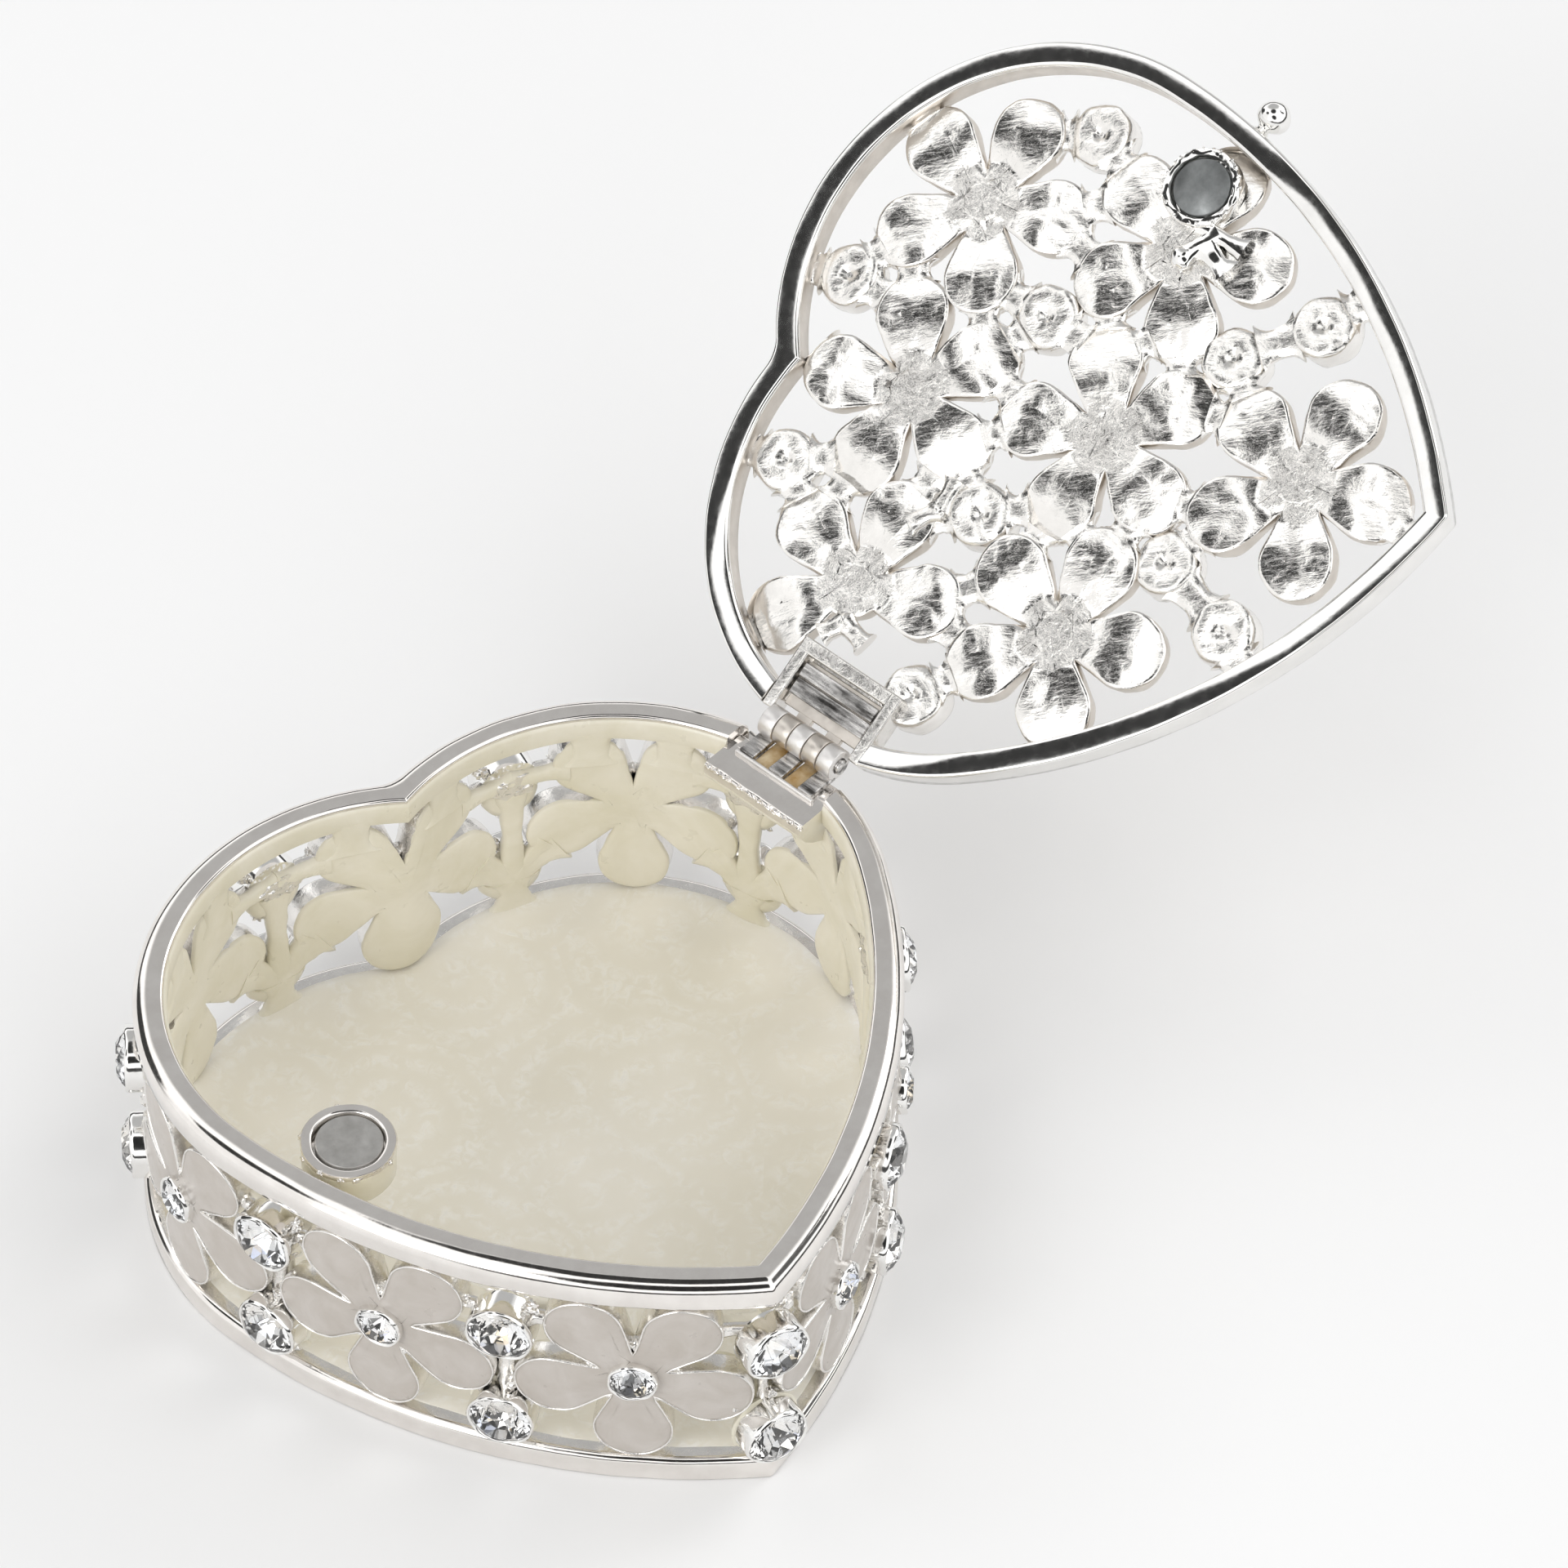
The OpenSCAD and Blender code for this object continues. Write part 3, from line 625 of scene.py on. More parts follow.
class Skin(Tree):
    """A material."""

    def __init__(self, name):
        self.mat = bpy.data.materials.new(name)
        self.mat.use_nodes = True
        super().__init__(self.mat.node_tree, "Object")

    def paint(self, **inputs):
        """Gives the material's shader its inputs."""
        self.feed(self.nt.nodes["Principled BSDF"], **inputs)
        return self.mat


def silver(name, lo, hi, rough, waves, streaks=None):
    """Plated metal: colour between lo and hi, a roughness range, and layers of bump. A layer has scale,
    strength, depth in mm and, if it's brushed, stretch and turn."""
    t = Skin(name)
    tint = t.noise(420, 5, 0.6, streaks, 0, (0, 0, -HT))
    edge = 0.36 if streaks else 0.3
    normal = None
    for scale, strength, depth, *brushed in waves:
        stretch, turn = brushed or (None, None)
        normal = t.bump(t.noise(scale, 5, 0.6, stretch, 0.3, turn), strength, depth, normal)
    return t.paint(Metallic=1, Base_Color=t.ramp(tint, (edge, lo), (1 - edge, hi)),
                   Roughness=t.span(t.noise(1500, 3, 0.6), 0.3, 0.7, *rough), Normal=normal)


RIM_M = silver("silver_rim", (0.82, 0.785, 0.75), (0.91, 0.88, 0.845), (0.07, 0.13),
               [(260, 0.12, 0.1), (1400, 0.08, 0.02)])
LID_RING_M = silver("silver_ring", (0.84, 0.83, 0.81), (0.93, 0.92, 0.9), (0.07, 0.13),
                    [(230, 0.14, 0.1), (1500, 0.06, 0.02)])
CAST_M = silver("silver_cast", (0.78, 0.76, 0.73), (0.92, 0.9, 0.87), (0.14, 0.3),
                [(700, 0.5, 0.16), (2200, 0.45, 0.06)])
BACK_M = silver("silver_back", (0.82, 0.8, 0.77), (0.95, 0.93, 0.9), (0.08, 0.13),
                [(420, 0.25, 0.08), (900, 0.6, 0.045, (1, 4, 1), (0, 0, 0.7)), (2400, 0.5, 0.028)])
CUP_M = silver("silver_cup", (0.82, 0.8, 0.77), (0.96, 0.94, 0.91), (0.1, 0.17),
               [(900, 0.6, 0.075, (1, 3, 1), (0, 0, 0.7)), (2400, 0.5, 0.05)])
BRIGHT_M = silver("silver_bright", (0.86, 0.85, 0.83), (0.95, 0.94, 0.92), (0.06, 0.12),
                  [(500, 0.15, 0.08)])
STEEL_M = silver("steel_leaf", (0.1, 0.095, 0.09), (0.86, 0.84, 0.82), (0.2, 0.32),
                 [(700, 0.45, 0.05, (6, 0.5, 6), (0, 0, -HT)), (1500, 0.2, 0.02)], streaks=(5, 0.7, 5))
PLATE_M = silver("silver_satin", (0.8, 0.78, 0.76), (0.93, 0.91, 0.89), (0.36, 0.48),
                 [(600, 0.35, 0.08), (1800, 0.3, 0.04)])
WARM_M = silver("silver_warm", (0.62, 0.575, 0.52), (0.78, 0.73, 0.67), (0.3, 0.42),
                [(500, 0.4, 0.1), (1800, 0.3, 0.04)])
HUB_M = silver("silver_hub", (0.72, 0.7, 0.67), (0.94, 0.92, 0.89), (0.09, 0.16),
               [(1100, 0.8, 0.12), (2400, 0.8, 0.06)])
NODE_M = silver("silver_plate", (0.76, 0.75, 0.73), (0.88, 0.87, 0.85), (0.28, 0.38),
                [(400, 0.2, 0.08), (1500, 0.15, 0.03)])


def magnet(name, lo, hi):
    t = Skin(name)
    return t.paint(Metallic=0.85, Base_Color=t.ramp(t.noise(700, 6, 0.65), (0.3, lo), (0.7, hi)),
                   Roughness=t.span(t.noise(1800), 0.3, 0.7, 0.34, 0.5),
                   Normal=t.bump(t.noise(1200, 5), 0.15, 0.04))


BOX_MAGNET_M = magnet("magnet_box", (0.4, 0.39, 0.37), (0.55, 0.54, 0.52))
LID_MAGNET_M = magnet("magnet_lid", (0.17, 0.18, 0.18), (0.28, 0.29, 0.29))


def enamel(name, dark, light, specks=False, grain=160):
    """Hand filled enamel, with a few brown specks if wanted."""
    t = Skin(name)
    colour = t.ramp(t.noise(grain, 5, 0.6, None, 0.6), (0.28, dark), (0.72, light))
    if specks:
        cells = t.add("TexVoronoi", Vector=t.co, Scale=260).outputs
        chosen = t.make("SeparateColor", 0, Color=cells["Color"])
        spot = t.calc("MULTIPLY", t.calc("GREATER_THAN", chosen, 0.955),
                      t.calc("LESS_THAN", cells["Distance"], 0.055))
        colour = t.mix(spot, colour, (0.09, 0.035, 0.012))
    normal = t.bump(t.noise(1300, 3), 0.12, 0.04, t.bump(t.noise(320, 4), 0.35, 0.2))
    return t.paint(Base_Color=colour, Roughness=t.span(t.noise(500), 0.3, 0.7, 0.26, 0.42),
                   Coat_Weight=0.25, Coat_Roughness=0.15, Normal=normal)


CREAM_M = enamel("enamel_cream", (0.77, 0.725, 0.57), (0.9, 0.86, 0.75), specks=True)
# pinkish-grey enamel of the outer petals; its colour is also darkened by a painted shade, the look of their
# shadow side
PETAL_TONE_AND_SHADE_M = enamel("enamel_petal", (0.47, 0.425, 0.375), (0.58, 0.54, 0.5), grain=300)


def floor_enamel():
    """Pearly cream with soft rose-like swirls: arcs round scattered centres, broken into fine strokes."""
    t = Skin("enamel_floor")
    swirls = 95
    cells = t.add("TexVoronoi", Vector=t.co, Scale=swirls, Randomness=0.85).outputs
    here, centre = (t.calc("SCALE", x, None, None, swirls, kind="VectorMath")
                    for x in (t.co, cells["Position"]))
    x, y, _ = t.add("SeparateXYZ", Vector=t.calc("SUBTRACT", here, centre, kind="VectorMath")).outputs
    spiral = t.calc("ADD", t.calc("MULTIPLY", cells["Distance"], 26), t.calc("ARCTAN2", y, x))
    phase = t.calc("ADD", spiral, t.calc("MULTIPLY", t.noise(130, 3), 13))
    arcs = t.calc("MULTIPLY", t.calc("ADD", t.calc("SINE", phase), 1), 0.5)
    broken = t.calc("MULTIPLY", arcs, t.span(t.noise(900, 4, 0.6, None, 1.2), 0.42, 0.66, 0, 1))
    base = t.ramp(t.noise(60, 3), (0.3, (0.83, 0.79, 0.68)), (0.7, (0.92, 0.885, 0.8)))
    normal = t.bump(t.noise(150, 3), 0.2, 0.3, t.bump(broken, 0.25, 0.12))
    return t.paint(Base_Color=t.mix(t.calc("MULTIPLY", broken, 0.6), base, (0.98, 0.97, 0.93)),
                   Roughness=t.span(broken, 0, 1, 0.4, 0.26), Coat_Weight=0.3, Coat_Roughness=0.25,
                   Normal=normal)


def amber():
    """Amber-brown painted shade for the recess below the lid's knuckles in the hinge."""
    t = Skin("hinge_gap_painted_shade")
    n = t.noise(900, 4)
    # amber-brown colour: painted shade of the recess between the knuckles
    return t.paint(Base_Color=t.ramp(n, (0.3, (0.42, 0.25, 0.08)), (0.75, (0.72, 0.6, 0.4))),
                   Roughness=t.span(n, 0.3, 0.7, 0.25, 0.5), Normal=t.bump(n, 0.3, 0.05))


def crystal():
    """Clear cut glass: the facets do the work, with a faint colour break-up."""
    t = Skin("stone_clear")
    tint = t.ramp(t.noise(260, 2), (0.35, (0.93, 0.96, 1)), (0.5, (1, 1, 1)), (0.65, (1, 0.97, 0.92)))
    return t.paint(Base_Color=tint, Roughness=t.span(t.noise(2500, 2), 0.3, 0.7, 0, 0.03), IOR=1.58,
                   Transmission_Weight=1)


def foil():
    """Bright foil behind the stones, its facets painted from black to white and a few warm or blue: painted
    reflection and sparkle of a cut stone.
    """
    t = Skin("stone_foil_painted_sparkle")
    facet_sparkle = t.add("Attribute")
    facet_sparkle.attribute_name = "facet_sparkle"
    # painted reflection: a random level gives each of the foil's facets a shade from black to white, a few of
    # them warm or blue
    tint = t.ramp(facet_sparkle.outputs["Fac"], (0, (0.03, 0.03, 0.03)), (0.22, (0.1, 0.095, 0.09)),
                  (0.34, (0.75, 0.75, 0.75)), (0.8, (1, 1, 1)), (0.88, (1, 0.86, 0.62)),
                  (0.94, (0.8, 0.84, 1)), (1, (1, 1, 1)))
    return t.paint(Metallic=1, Roughness=0.06, Base_Color=tint, Normal=t.bump(t.noise(900, 2), 0.05, 0.02))


FLOOR_M, GAP_SHADE_M, STONE_M, FOIL_SPARKLE_M = floor_enamel(), amber(), crystal(), foil()

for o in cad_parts.values():
    o.data.materials.clear()
    o.data.materials.append(NODE_M)

# ---- box: rims and floor
b = Bag()
sweep(b, ring_profile(RIM_W, RIM_BOT, RIM_TOP, 1.35, 0.34, n=14, rz=1.2), 0.03, gap=HINGE_GAP)
b.build("mouth_rim_band", "base", [RIM_M], ["mouth_rim"], "silver_rim", sharp=50)

b = Bag()
prof = ring_profile(2.35, 0, FOOT_TOP, 0.7, 0.1, low_o=0.25)[:-3]
prof += [(2.5, FOOT_TOP - 0.1, 0.12, 0.12), (2.6, 1.4, 0.12, 0.12), (2.35, 0.02, 0.12, 0.12)]
sweep(b, prof, 0.04, seed=3, pick=lambda inset, z: int(inset > 0.6 and z > 1.6))
b.build("foot_band", "base", [RIM_M, CAST_M], ["foot_ring"], "silver_rim", sharp=50)

# the floor's enamel laps over the ledge of the foot ring
b = Bag()
rows = []
for inset, z, rough in ((1.35, FOOT_TOP - 0.15, 0), (1.5, FOOT_TOP + 0.06, 0.1),
                        (2.5, FOOT_TOP + 0.1, 0.1), (3.1, FOOT_TOP - 0.12, 0.05),
                        (4, FLOOR + 0.04, 0), (5, FLOOR + 0.01, 0)):
    p = heart_loop(inset, 0.1, 0.1)
    rows.append(wobble(np.column_stack([p, np.full(len(p), z)]), 2, rough, 4))
m = len(rows[0])
b.add(np.concatenate(rows), grid(len(rows), m, wrap_cols=True) + [tuple(range(5 * m, 6 * m))])
b.build("floor_enamel_top", "base", [FLOOR_M], ["floor_enamel"], "enamel_cream", sharp=60)

# ---- shapes of both the wall and the lid
WIRE = 0.22
OFF_WIRE = [0, 0.02, 0.05, 0.11, 0.17, 0.2, 0.23, 0.7, 1]
FACE = -0.02  # the petals' wire stands on this level
EDGE = (0.03, 0.05, 0.03)  # how far the loops round a plate's edge stand out
SMALL_UP, LARGE_UP = 0.7, 1  # the stones' girdles, above the flowers' face


def wire_front(depth=1.25):
    """Raised outline round a petal, then the sunk field that the enamel fills."""
    def h(d, p):
        bead = 0.22 * np.sqrt(np.clip(1 - ((d - WIRE / 2) / (WIRE / 2)) ** 2, 0, 1))
        return FACE + np.where(d < WIRE, bead, -0.05) - sink(p, depth)
    return h


def enamel_slab(loop, depth=1.25):
    def top(d, p):
        soft = 0.1 * (1 - np.exp(-d / 0.1)) + 0.12 * np.sin(np.minimum(d / 2.6, 1) * 1.57)
        return FACE + 0.05 + soft - sink(p, depth)
    return slab(offset_in(loop, WIRE - 0.05), [0, 0.04, 0.1, 0.2, 0.35, 0.6, 0.9], top, [0, 0.5],
                lambda d, p: FACE - 0.08 - sink(p, depth))[:2]


SETS = {name: (Bag(), Bag(), [])
        for name in ("wall_stones", "wall_centre_stones", "lid_stones", "lid_centre_stones")}


def add_stone(name, r, spin, seed, place):
    stones, backs, sparkle_levels = SETS[name]
    stones.piece(brilliant(r, spin), place)
    v, f, brightness = foil_cone(r, spin, seed)
    backs.add(place(v), f)
    sparkle_levels += brightness


def finish_stones(name, body):
    """The clear stones, and behind each one its bright foil with painted sparkle."""
    stones, backs, sparkle_levels = SETS[name]
    stones.build(name + "_cut", body, [STONE_M], [name], "stone_clear", flat=True)
    ob = backs.build(name + "_foil", body, [FOIL_SPARKLE_M], (), "stone_clear", flat=True, fix=False)
    # the random levels of painted sparkle, one for each of the foil's facets
    ob.data.attributes.new("facet_sparkle", "FLOAT", "FACE").data.foreach_set("value", sparkle_levels)


# ---- wall flowers
def lifted(place, up, out=0):
    """The same placing, after a move up and out from the wall."""
    return lambda v: place(moved(0, up, out)(v))


LOOP = flower_outline(-90)
front_enamel, lining = Bag(), Bag()
small_spin = random.Random(11)
for k, s in enumerate(FLOWER_S):
    go, stiff = wall_map(s), rigid_map(s)
    put, seat = lifted(go, FLOWER_Z), lifted(stiff, FLOWER_Z, SMALL_UP - SET)
    b = Bag()
    v, f, _ = slab(LOOP, OFF_WIRE, wire_front(), [0, 0.3, 0.8], lambda d, p: np.full(len(d), -WALL_T),
                   mids=zip(EDGE, (-0.25, -0.8, -1.3)))
    b.piece((v, f), put, (1.4, 0.035, k + 1))
    for side in (-1, 1):
        x = side * 3.7
        b.piece(bar((x, RIM_BOT - 2.2), (x, RIM_BOT + 0.15), 2.8, -1.6, -0.3, 40 + k, waist=0.95), go,
                (0.9, 0.1, k))
        x = side * 3.6
        lining.piece(bar((x, RIM_BOT - 3), (x, RIM_BOT + 0.5), 3.2, -2.2, -1.4, 50 + k, waist=0.95), go,
                     (1.2, 0.1, k))
    b.piece(bar((0, FOOT_TOP - 0.2), (0, FOOT_TOP + 1.2), 2.2, -1.6, -0.1, 60 + k), go)
    rnd = random.Random(100 + k)
    for i in range(5):
        (x, y), = arc(0, 0, 3 + 0.5 * rnd.random(), [rad(72 * i - 54)])
        b.piece(blob((x, y, -0.45), (0.42, 0.42, 0.5), 10 * k + i, 0.6), put)
    b.piece(setting(SMALL_R, 1.6, 200 + k), seat, mat=1)
    b.build(f"wall_flower_{k + 1}_cast", "base", [CAST_M, BRIGHT_M], [f"wall_flower_{k + 1}"], "silver_cast")
    front_enamel.piece(enamel_slab(LOOP), put)

    def inner_face(d, p):
        return -WALL_T - 0.02 - 0.22 * (1 - np.exp(-d / 0.25)) - 0.1 * np.sin(np.minimum(d / 3, 1) * 1.57)
    v, f, _ = slab(offset_in(LOOP, -0.02), [0, 0.1, 0.25, 0.5, 0.9], inner_face, [0, 0.5],
                   lambda d, p: np.full(len(d), -WALL_T + 0.25))
    lining.piece((v, f), put, (1.6, 0.05, 20 + k))
    add_stone("wall_centre_stones", SMALL_R, small_spin.uniform(0, 0.8), 1000 + k, seat)

# ---- stone posts
# how far the stems of a post reach along the wall, towards the flowers beside it
REACHES = [4.4, 3.8, 3.8, 4.6, 4.6, 4.6, 4.6, 3.8, 3.8]
# cream discs behind the cups: profile, drop below the stone, roughness
LOW_DISC = ([(0, -2.45), (0.9, -2.4), (1.9, -2.15), (2.6, -1.75), (2.85, -1.3), (2.4, -1.2), (0, -1.2)],
            0, 0.06)
HIGH_DISC = ([(0, -2.3), (0.8, -2.26), (1.7, -2.1), (2.3, -1.8), (2.45, -1.3), (2, -1.2), (0, -1.2)],
             0.6, 0.08)
# silver lumps on the back of an upper cup: along, up, half width, half height
BACK_LUMPS = ((0, 0.6, 1.9, 1), (-0.8, 0.2, 0.9, 0.6), (0.9, 0.9, 0.8, 0.6))
big_spin = random.Random(5)
for k, (s, reach) in enumerate(zip(POST_S, REACHES)):
    go, stiff = wall_map(s), rigid_map(s)
    b = Bag()
    foot, low, high, top = (0, FOOT_TOP - 0.1), (0, LOWER_Z), (0, UPPER_Z), (0, UPPER_Z + 0.9)
    stems = [(low, high, 1.8), (foot, low, 2.6)]
    stems += [(low, (side * reach * 0.9, LOWER_Z + 2.6), 2.2) for side in (1, -1)]
    stems += [(top, (side * (reach + 0.5), UPPER_Z + 0.9), 1.3) for side in (-1, 1)]
    stems += [(low, end, 1.6) for end in arc(*low, reach, np.radians((48, 132)))]
    for i, (p, q, w) in enumerate(stems):
        seed = 10 * k + i
        b.piece(bar(p, q, w, -1.62, -0.5 if i < 4 else -0.25, seed, n=13), go, (0.9, 0.14, seed))
        lining.piece(bar(p, q, w * 1.3, -2.1, -0.9, seed, n=13), go, (0.9, 0.06, seed))
    rnd = random.Random(300 + k)
    lumps = [(-0.7, UPPER_Z - 3), (0.6, LOWER_Z + 3.1), (0.8, UPPER_Z - 3.4),
             (-reach * 0.86, UPPER_Z + 1.2), (reach * 0.86, UPPER_Z + 1), (-2.6, LOWER_Z + 2.6),
             (2.2, UPPER_Z + 2.3)]
    for i, (x, z) in enumerate(lumps):
        c = (x + rnd.uniform(-0.3, 0.3), z + rnd.uniform(-0.3, 0.3), -0.35 + rnd.uniform(-0.3, 0.1))
        b.piece(blob(c, (rnd.uniform(0.4, 0.6), rnd.uniform(0.4, 0.6), 0.5), 31 * k + i, 0.7), go)
    for lower, z, (profile, drop, rough) in ((0, UPPER_Z, HIGH_DISC), (1, LOWER_Z, LOW_DISC)):
        seat = lifted(stiff, z, LARGE_UP - SET)
        b.piece(setting(STONE_R, 2.45, 400 + 2 * k + lower, dome=True), seat, mat=1)
        v, f = lathe(profile, 32)
        lining.piece((v + np.array([0, z - drop, 0]), f), stiff, (1.1, rough, k))
        for dx, dz, wide, tall in () if lower else BACK_LUMPS:
            b.piece(blob((dx, z + dz, -2.2), (wide, tall, 0.45), 71 * k + 7 * wide, 0.6), stiff)
        add_stone("wall_stones", STONE_R, big_spin.uniform(0, 0.8), 1100 + 2 * k + lower, seat)
    b.build(f"stone_post_{k + 1}_cast", "base", [CAST_M, BRIGHT_M], [f"stone_post_{k + 1}"], "silver_cast")

front_enamel.build("petal_enamel_wall", "base", [PETAL_TONE_AND_SHADE_M], ["wall_petal_enamel"], "enamel_petal", sharp=60)

# cream enamel on the inner face of the mouth rim
prof = [(2.3, RIM_BOT - 0.05), (2.52, RIM_BOT - 0.02), (2.6, RIM_BOT + 0.2), (2.6, RIM_TOP - 0.75),
        (2.52, RIM_TOP - 0.5), (2.36, RIM_TOP - 0.38), (2.2, RIM_TOP - 0.5), (2.2, RIM_BOT + 0.3)]
sweep(lining, [(inset, z, 0.12, 0.12) for inset, z in prof], 0.05, seed=9, gap=HINGE_GAP)
lining.build("wall_lining_cream", "base", [CREAM_M], ["wall_lining_enamel"], "enamel_cream", sharp=60)
finish_stones("wall_stones", "base")
finish_stones("wall_centre_stones", "base")

# ---- magnet in the box
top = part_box("box_magnet_cup")[1].z / MM
v, f = lathe([(0, top - 3.85), (2.5, top - 3.8), (3.3, top - 3.5), (3.55, top - 3), (3.6, top - 0.5),
              (3.62, top - 0.14), (3.54, top - 0.02), (3.1, top), (2.86, top - 0.02), (2.78, top - 0.1),
              (2.78, top - 1.4), (0, top - 1.4)], 56)


def creamy(q):
    """The cup's outside is enamelled, up to its lip."""
    return 0.2 < min(v[i][2] for i in q) - (top - 3.9) < 3.3 and max(hypot(*v[i][:2]) for i in q) > 3.3


b = Bag()
b.piece((v, f), moved(*MAG), (1.3, 0.05, 5), [int(creamy(q)) for q in f])
b.piece(bar(MAG, MAG + 5.2 * LATCH_OUT, 2, top - 3.4, top - 1.75, 3), shake=(1, 0.08, 8))
rnd = random.Random(77)
for i, (x, y) in enumerate(arc(*MAG, 3.52, np.radians((20, 75, 140, 172, 205, 232, 250, 300)))):
    b.piece(blob((x, y, top - 0.25 - 0.3 * rnd.random()), (0.28, 0.28, 0.25), 50 + i, 0.5))
b.build("box_magnet_cup_cast", "base", [RIM_M, CREAM_M], ["box_magnet_cup"], "silver_cast", sharp=50)
b = Bag()
v, f = lathe([(0, top - 1.4), (2.5, top - 1.4), (2.58, top - 1.3), (2.58, top - 0.2), (2.5, top - 0.1),
              (0, top - 0.08)], 56)
b.piece((v, f), moved(MAG[0] + 0.05, MAG[1] - 0.06))
b.build("box_magnet_disc", "base", [BOX_MAGNET_M], ["box_magnet"], "magnet_grey", sharp=50)


# ---- hinge
# the leaves' width, a knuckle's length, the play between two knuckles
HW, KW, GAP = 7.5, 1.5, 0.08


def hinge_place(v):
    """Local (out from the pin, along the pin, up) to the row frame, lid closed."""
    return PIN + np.outer(v[:, 0], HINGE_OUT) + np.outer(v[:, 1], AXIS) + np.outer(v[:, 2], [0, 0, 1])


def tube_y(r0, r1, y0, y1, soft=0.08, segs=36):
    """Tube along the pin with rounded ends."""
    prof = [(r0, y0 + soft), (r0 + soft / 2, y0), (r1 - soft, y0), (r1 - soft * 0.3, y0 + soft * 0.3),
            (r1, y0 + soft), (r1, y1 - soft), (r1 - soft * 0.3, y1 - soft * 0.3), (r1 - soft, y1),
            (r0 + soft / 2, y1), (r0, y1 - soft)]
    v, f = lathe(prof, segs)
    last = (len(prof) - 1) * segs
    f += [(last + j, j, (j + 1) % segs, last + (j + 1) % segs) for j in range(segs)]
    return v[:, [0, 2, 1]], f


def knuckle(bag, i, lo, hi, r, mat):
    """One of the five knuckles, with its tongue: a box from lo to hi in (out, up)."""
    y0, y1 = -HW / 2 + i * KW + GAP / 2, -HW / 2 + (i + 1) * KW - GAP / 2
    bag.piece(rounded_box((lo[0], y0, lo[1]), (hi[0], y1, hi[1]), r), mat=mat)
    bag.piece(tube_y(0.66, 1.29, y0, y1))


b = Bag(hinge_place)
for i in (0, 2, 4):
    knuckle(b, i, (-3.3, -1.3), (-0.4, -0.8), 0.1, 1)
b.piece(rounded_box((-3.55, -4, -1.4), (-3.25, 4, -0.95), 0.12), shake=(1, 0.04, 4))
b.build("hinge_leaf_box", "base", [PLATE_M, STEEL_M], ["box_hinge_leaf"], "steel_leaf", sharp=45)
b = Bag(hinge_place)
b.piece(rounded_box((-5.6, -HW / 2, 0.8), (-1.7, HW / 2, 1.3), 0.1))
for i in (1, 3):
    knuckle(b, i, (-1.9, 0.81), (0, 1.29), 0.08, 0)
for u0, u1, low in ((-5.3, -4.1, 0.1), (-4, -2.6, 0.28)):
    b.piece(rounded_box((u0, -HW / 2, low), (u1, HW / 2, 0.9), 0.12), mat=1)
b.build("hinge_leaf_lid", "lid", [WARM_M, STEEL_M], ["lid_hinge_leaf"], "steel_leaf", sharp=45)

# pin with its ends, and amber-brown painted shade below the lid's knuckles
b = Bag(hinge_place)
b.piece(tube_y(0.02, 0.59, -3.83, 3.83))
for y in (-4.02, 3.78):
    b.piece(tube_y(0.02, 0.64, y, y + 0.25))
for i in (1, 3):
    y = -HW / 2 + i * KW
    # amber-brown blocks: painted shade in the recess under the lid's knuckles
    b.piece(rounded_box((-3.2, y, -1.62), (-0.5, y + KW, -1.22), 0.1), shake=(0.8, 0.05, i), mat=1)
b.build("hinge_pin_rod", "base", [STEEL_M, GAP_SHADE_M], ["hinge_pin"], "steel_leaf", sharp=45)

# cast seat of the box's leaf: a corbel inside the wall with lumps on its edge, and a sill in the rim's gap
section = [(-2.55, -5.25), (-3.2, -5), (-4.4, -4.3), (-5.3, -3.5), (-5.85, -2.8), (-6, -2.3),
           (-5.98, -1.75), (-5.88, -1.45), (-5.7, -1.34), (-5.5, -1.32), (-2.8, -1.32), (-2.55, -1.34)]
b = Bag(hinge_place)
b.piece(stacked([[(u, y, z) for u, z in section] for y in np.linspace(-5, 5, 21)]), shake=(1.2, 0.07, 2))
rnd = random.Random(31)
for y in np.linspace(-4.7, 4.7, 13):
    c = (-5.85, y + rnd.uniform(-0.2, 0.2), -1.5)
    b.piece(blob(c, (0.22, rnd.uniform(0.25, 0.5), 0.2), 9 * y, 0.6))
for u0, u1, high in ((-3, -1.75, -1.31), (-1.9, -0.62, -1.76)):
    b.piece(rounded_box((u0, -4.98, -2.85), (u1, 4.98, high), 0.12))
ob = b.build("box_hinge_seat_cast", "base", [RIM_M, CREAM_M], ["box_hinge_seat"], "silver_cast", sharp=45)
for poly in ob.data.polygons:
    if poly.center.z < (PIN[2] - 2.1) * MM and poly.normal.z < 0.6:
        poly.material_index = 1

# cast frame of the lid's leaf
b = Bag(hinge_place)
z0, z1 = -0.12, 1.98
for lo, hi in (((-7, -5, z0), (-5.8, 5, z1)), ((-7, -5, z0), (-0.75, -3.92, z1)),
               ((-7, 3.92, z0), (-0.75, 5, z1)), ((-6.6, -4.6, 1.34), (-1.8, 4.6, z1 - 0.02))):
    b.piece(rounded_box(lo, hi, 0.16), shake=(1.2, 0.07, lo[1]))
b.build("lid_hinge_seat_cast", "lid", [CAST_M], ["lid_hinge_seat"], "silver_cast", sharp=45)

# ---- lid: ring
# direction round the ring, and how much its face leans there
LEANS = ((-2.74, -2.5, -1.1, -0.8, -0.1, 0.1, 0.9, 1.15), (0, 0.16, 0.15, 0, 0, 0.16, 0.15, 0))


def ring_lean(p, inset, z):
    """The hand finished face of the ring leans a little, to one side or the other, along its length."""
    a = np.arctan2(p[:, 1] + 4, p[:, 0])
    k = 0.012 * np.sin(7 * a + 1) + np.interp(a, *LEANS)
    return k * (inset - 1) * (z < RING_Z + 1)


b = Bag()
prof = ring_profile(2, RING_TOP, RING_Z + 0.06, 0.3, 0.34, n=7, crown=0.03, low_o=0.35, low_i=0.25)
sweep(b, prof, 0.035, seed=6, gap=HINGE_GAP, lean=ring_lean,
      pick=lambda inset, z: int(inset > 1.85 and z > RING_Z + 0.55))
b.build("lid_ring_band", "lid", [LID_RING_M, WARM_M], ["lid_ring"], "silver_rim", sharp=50)


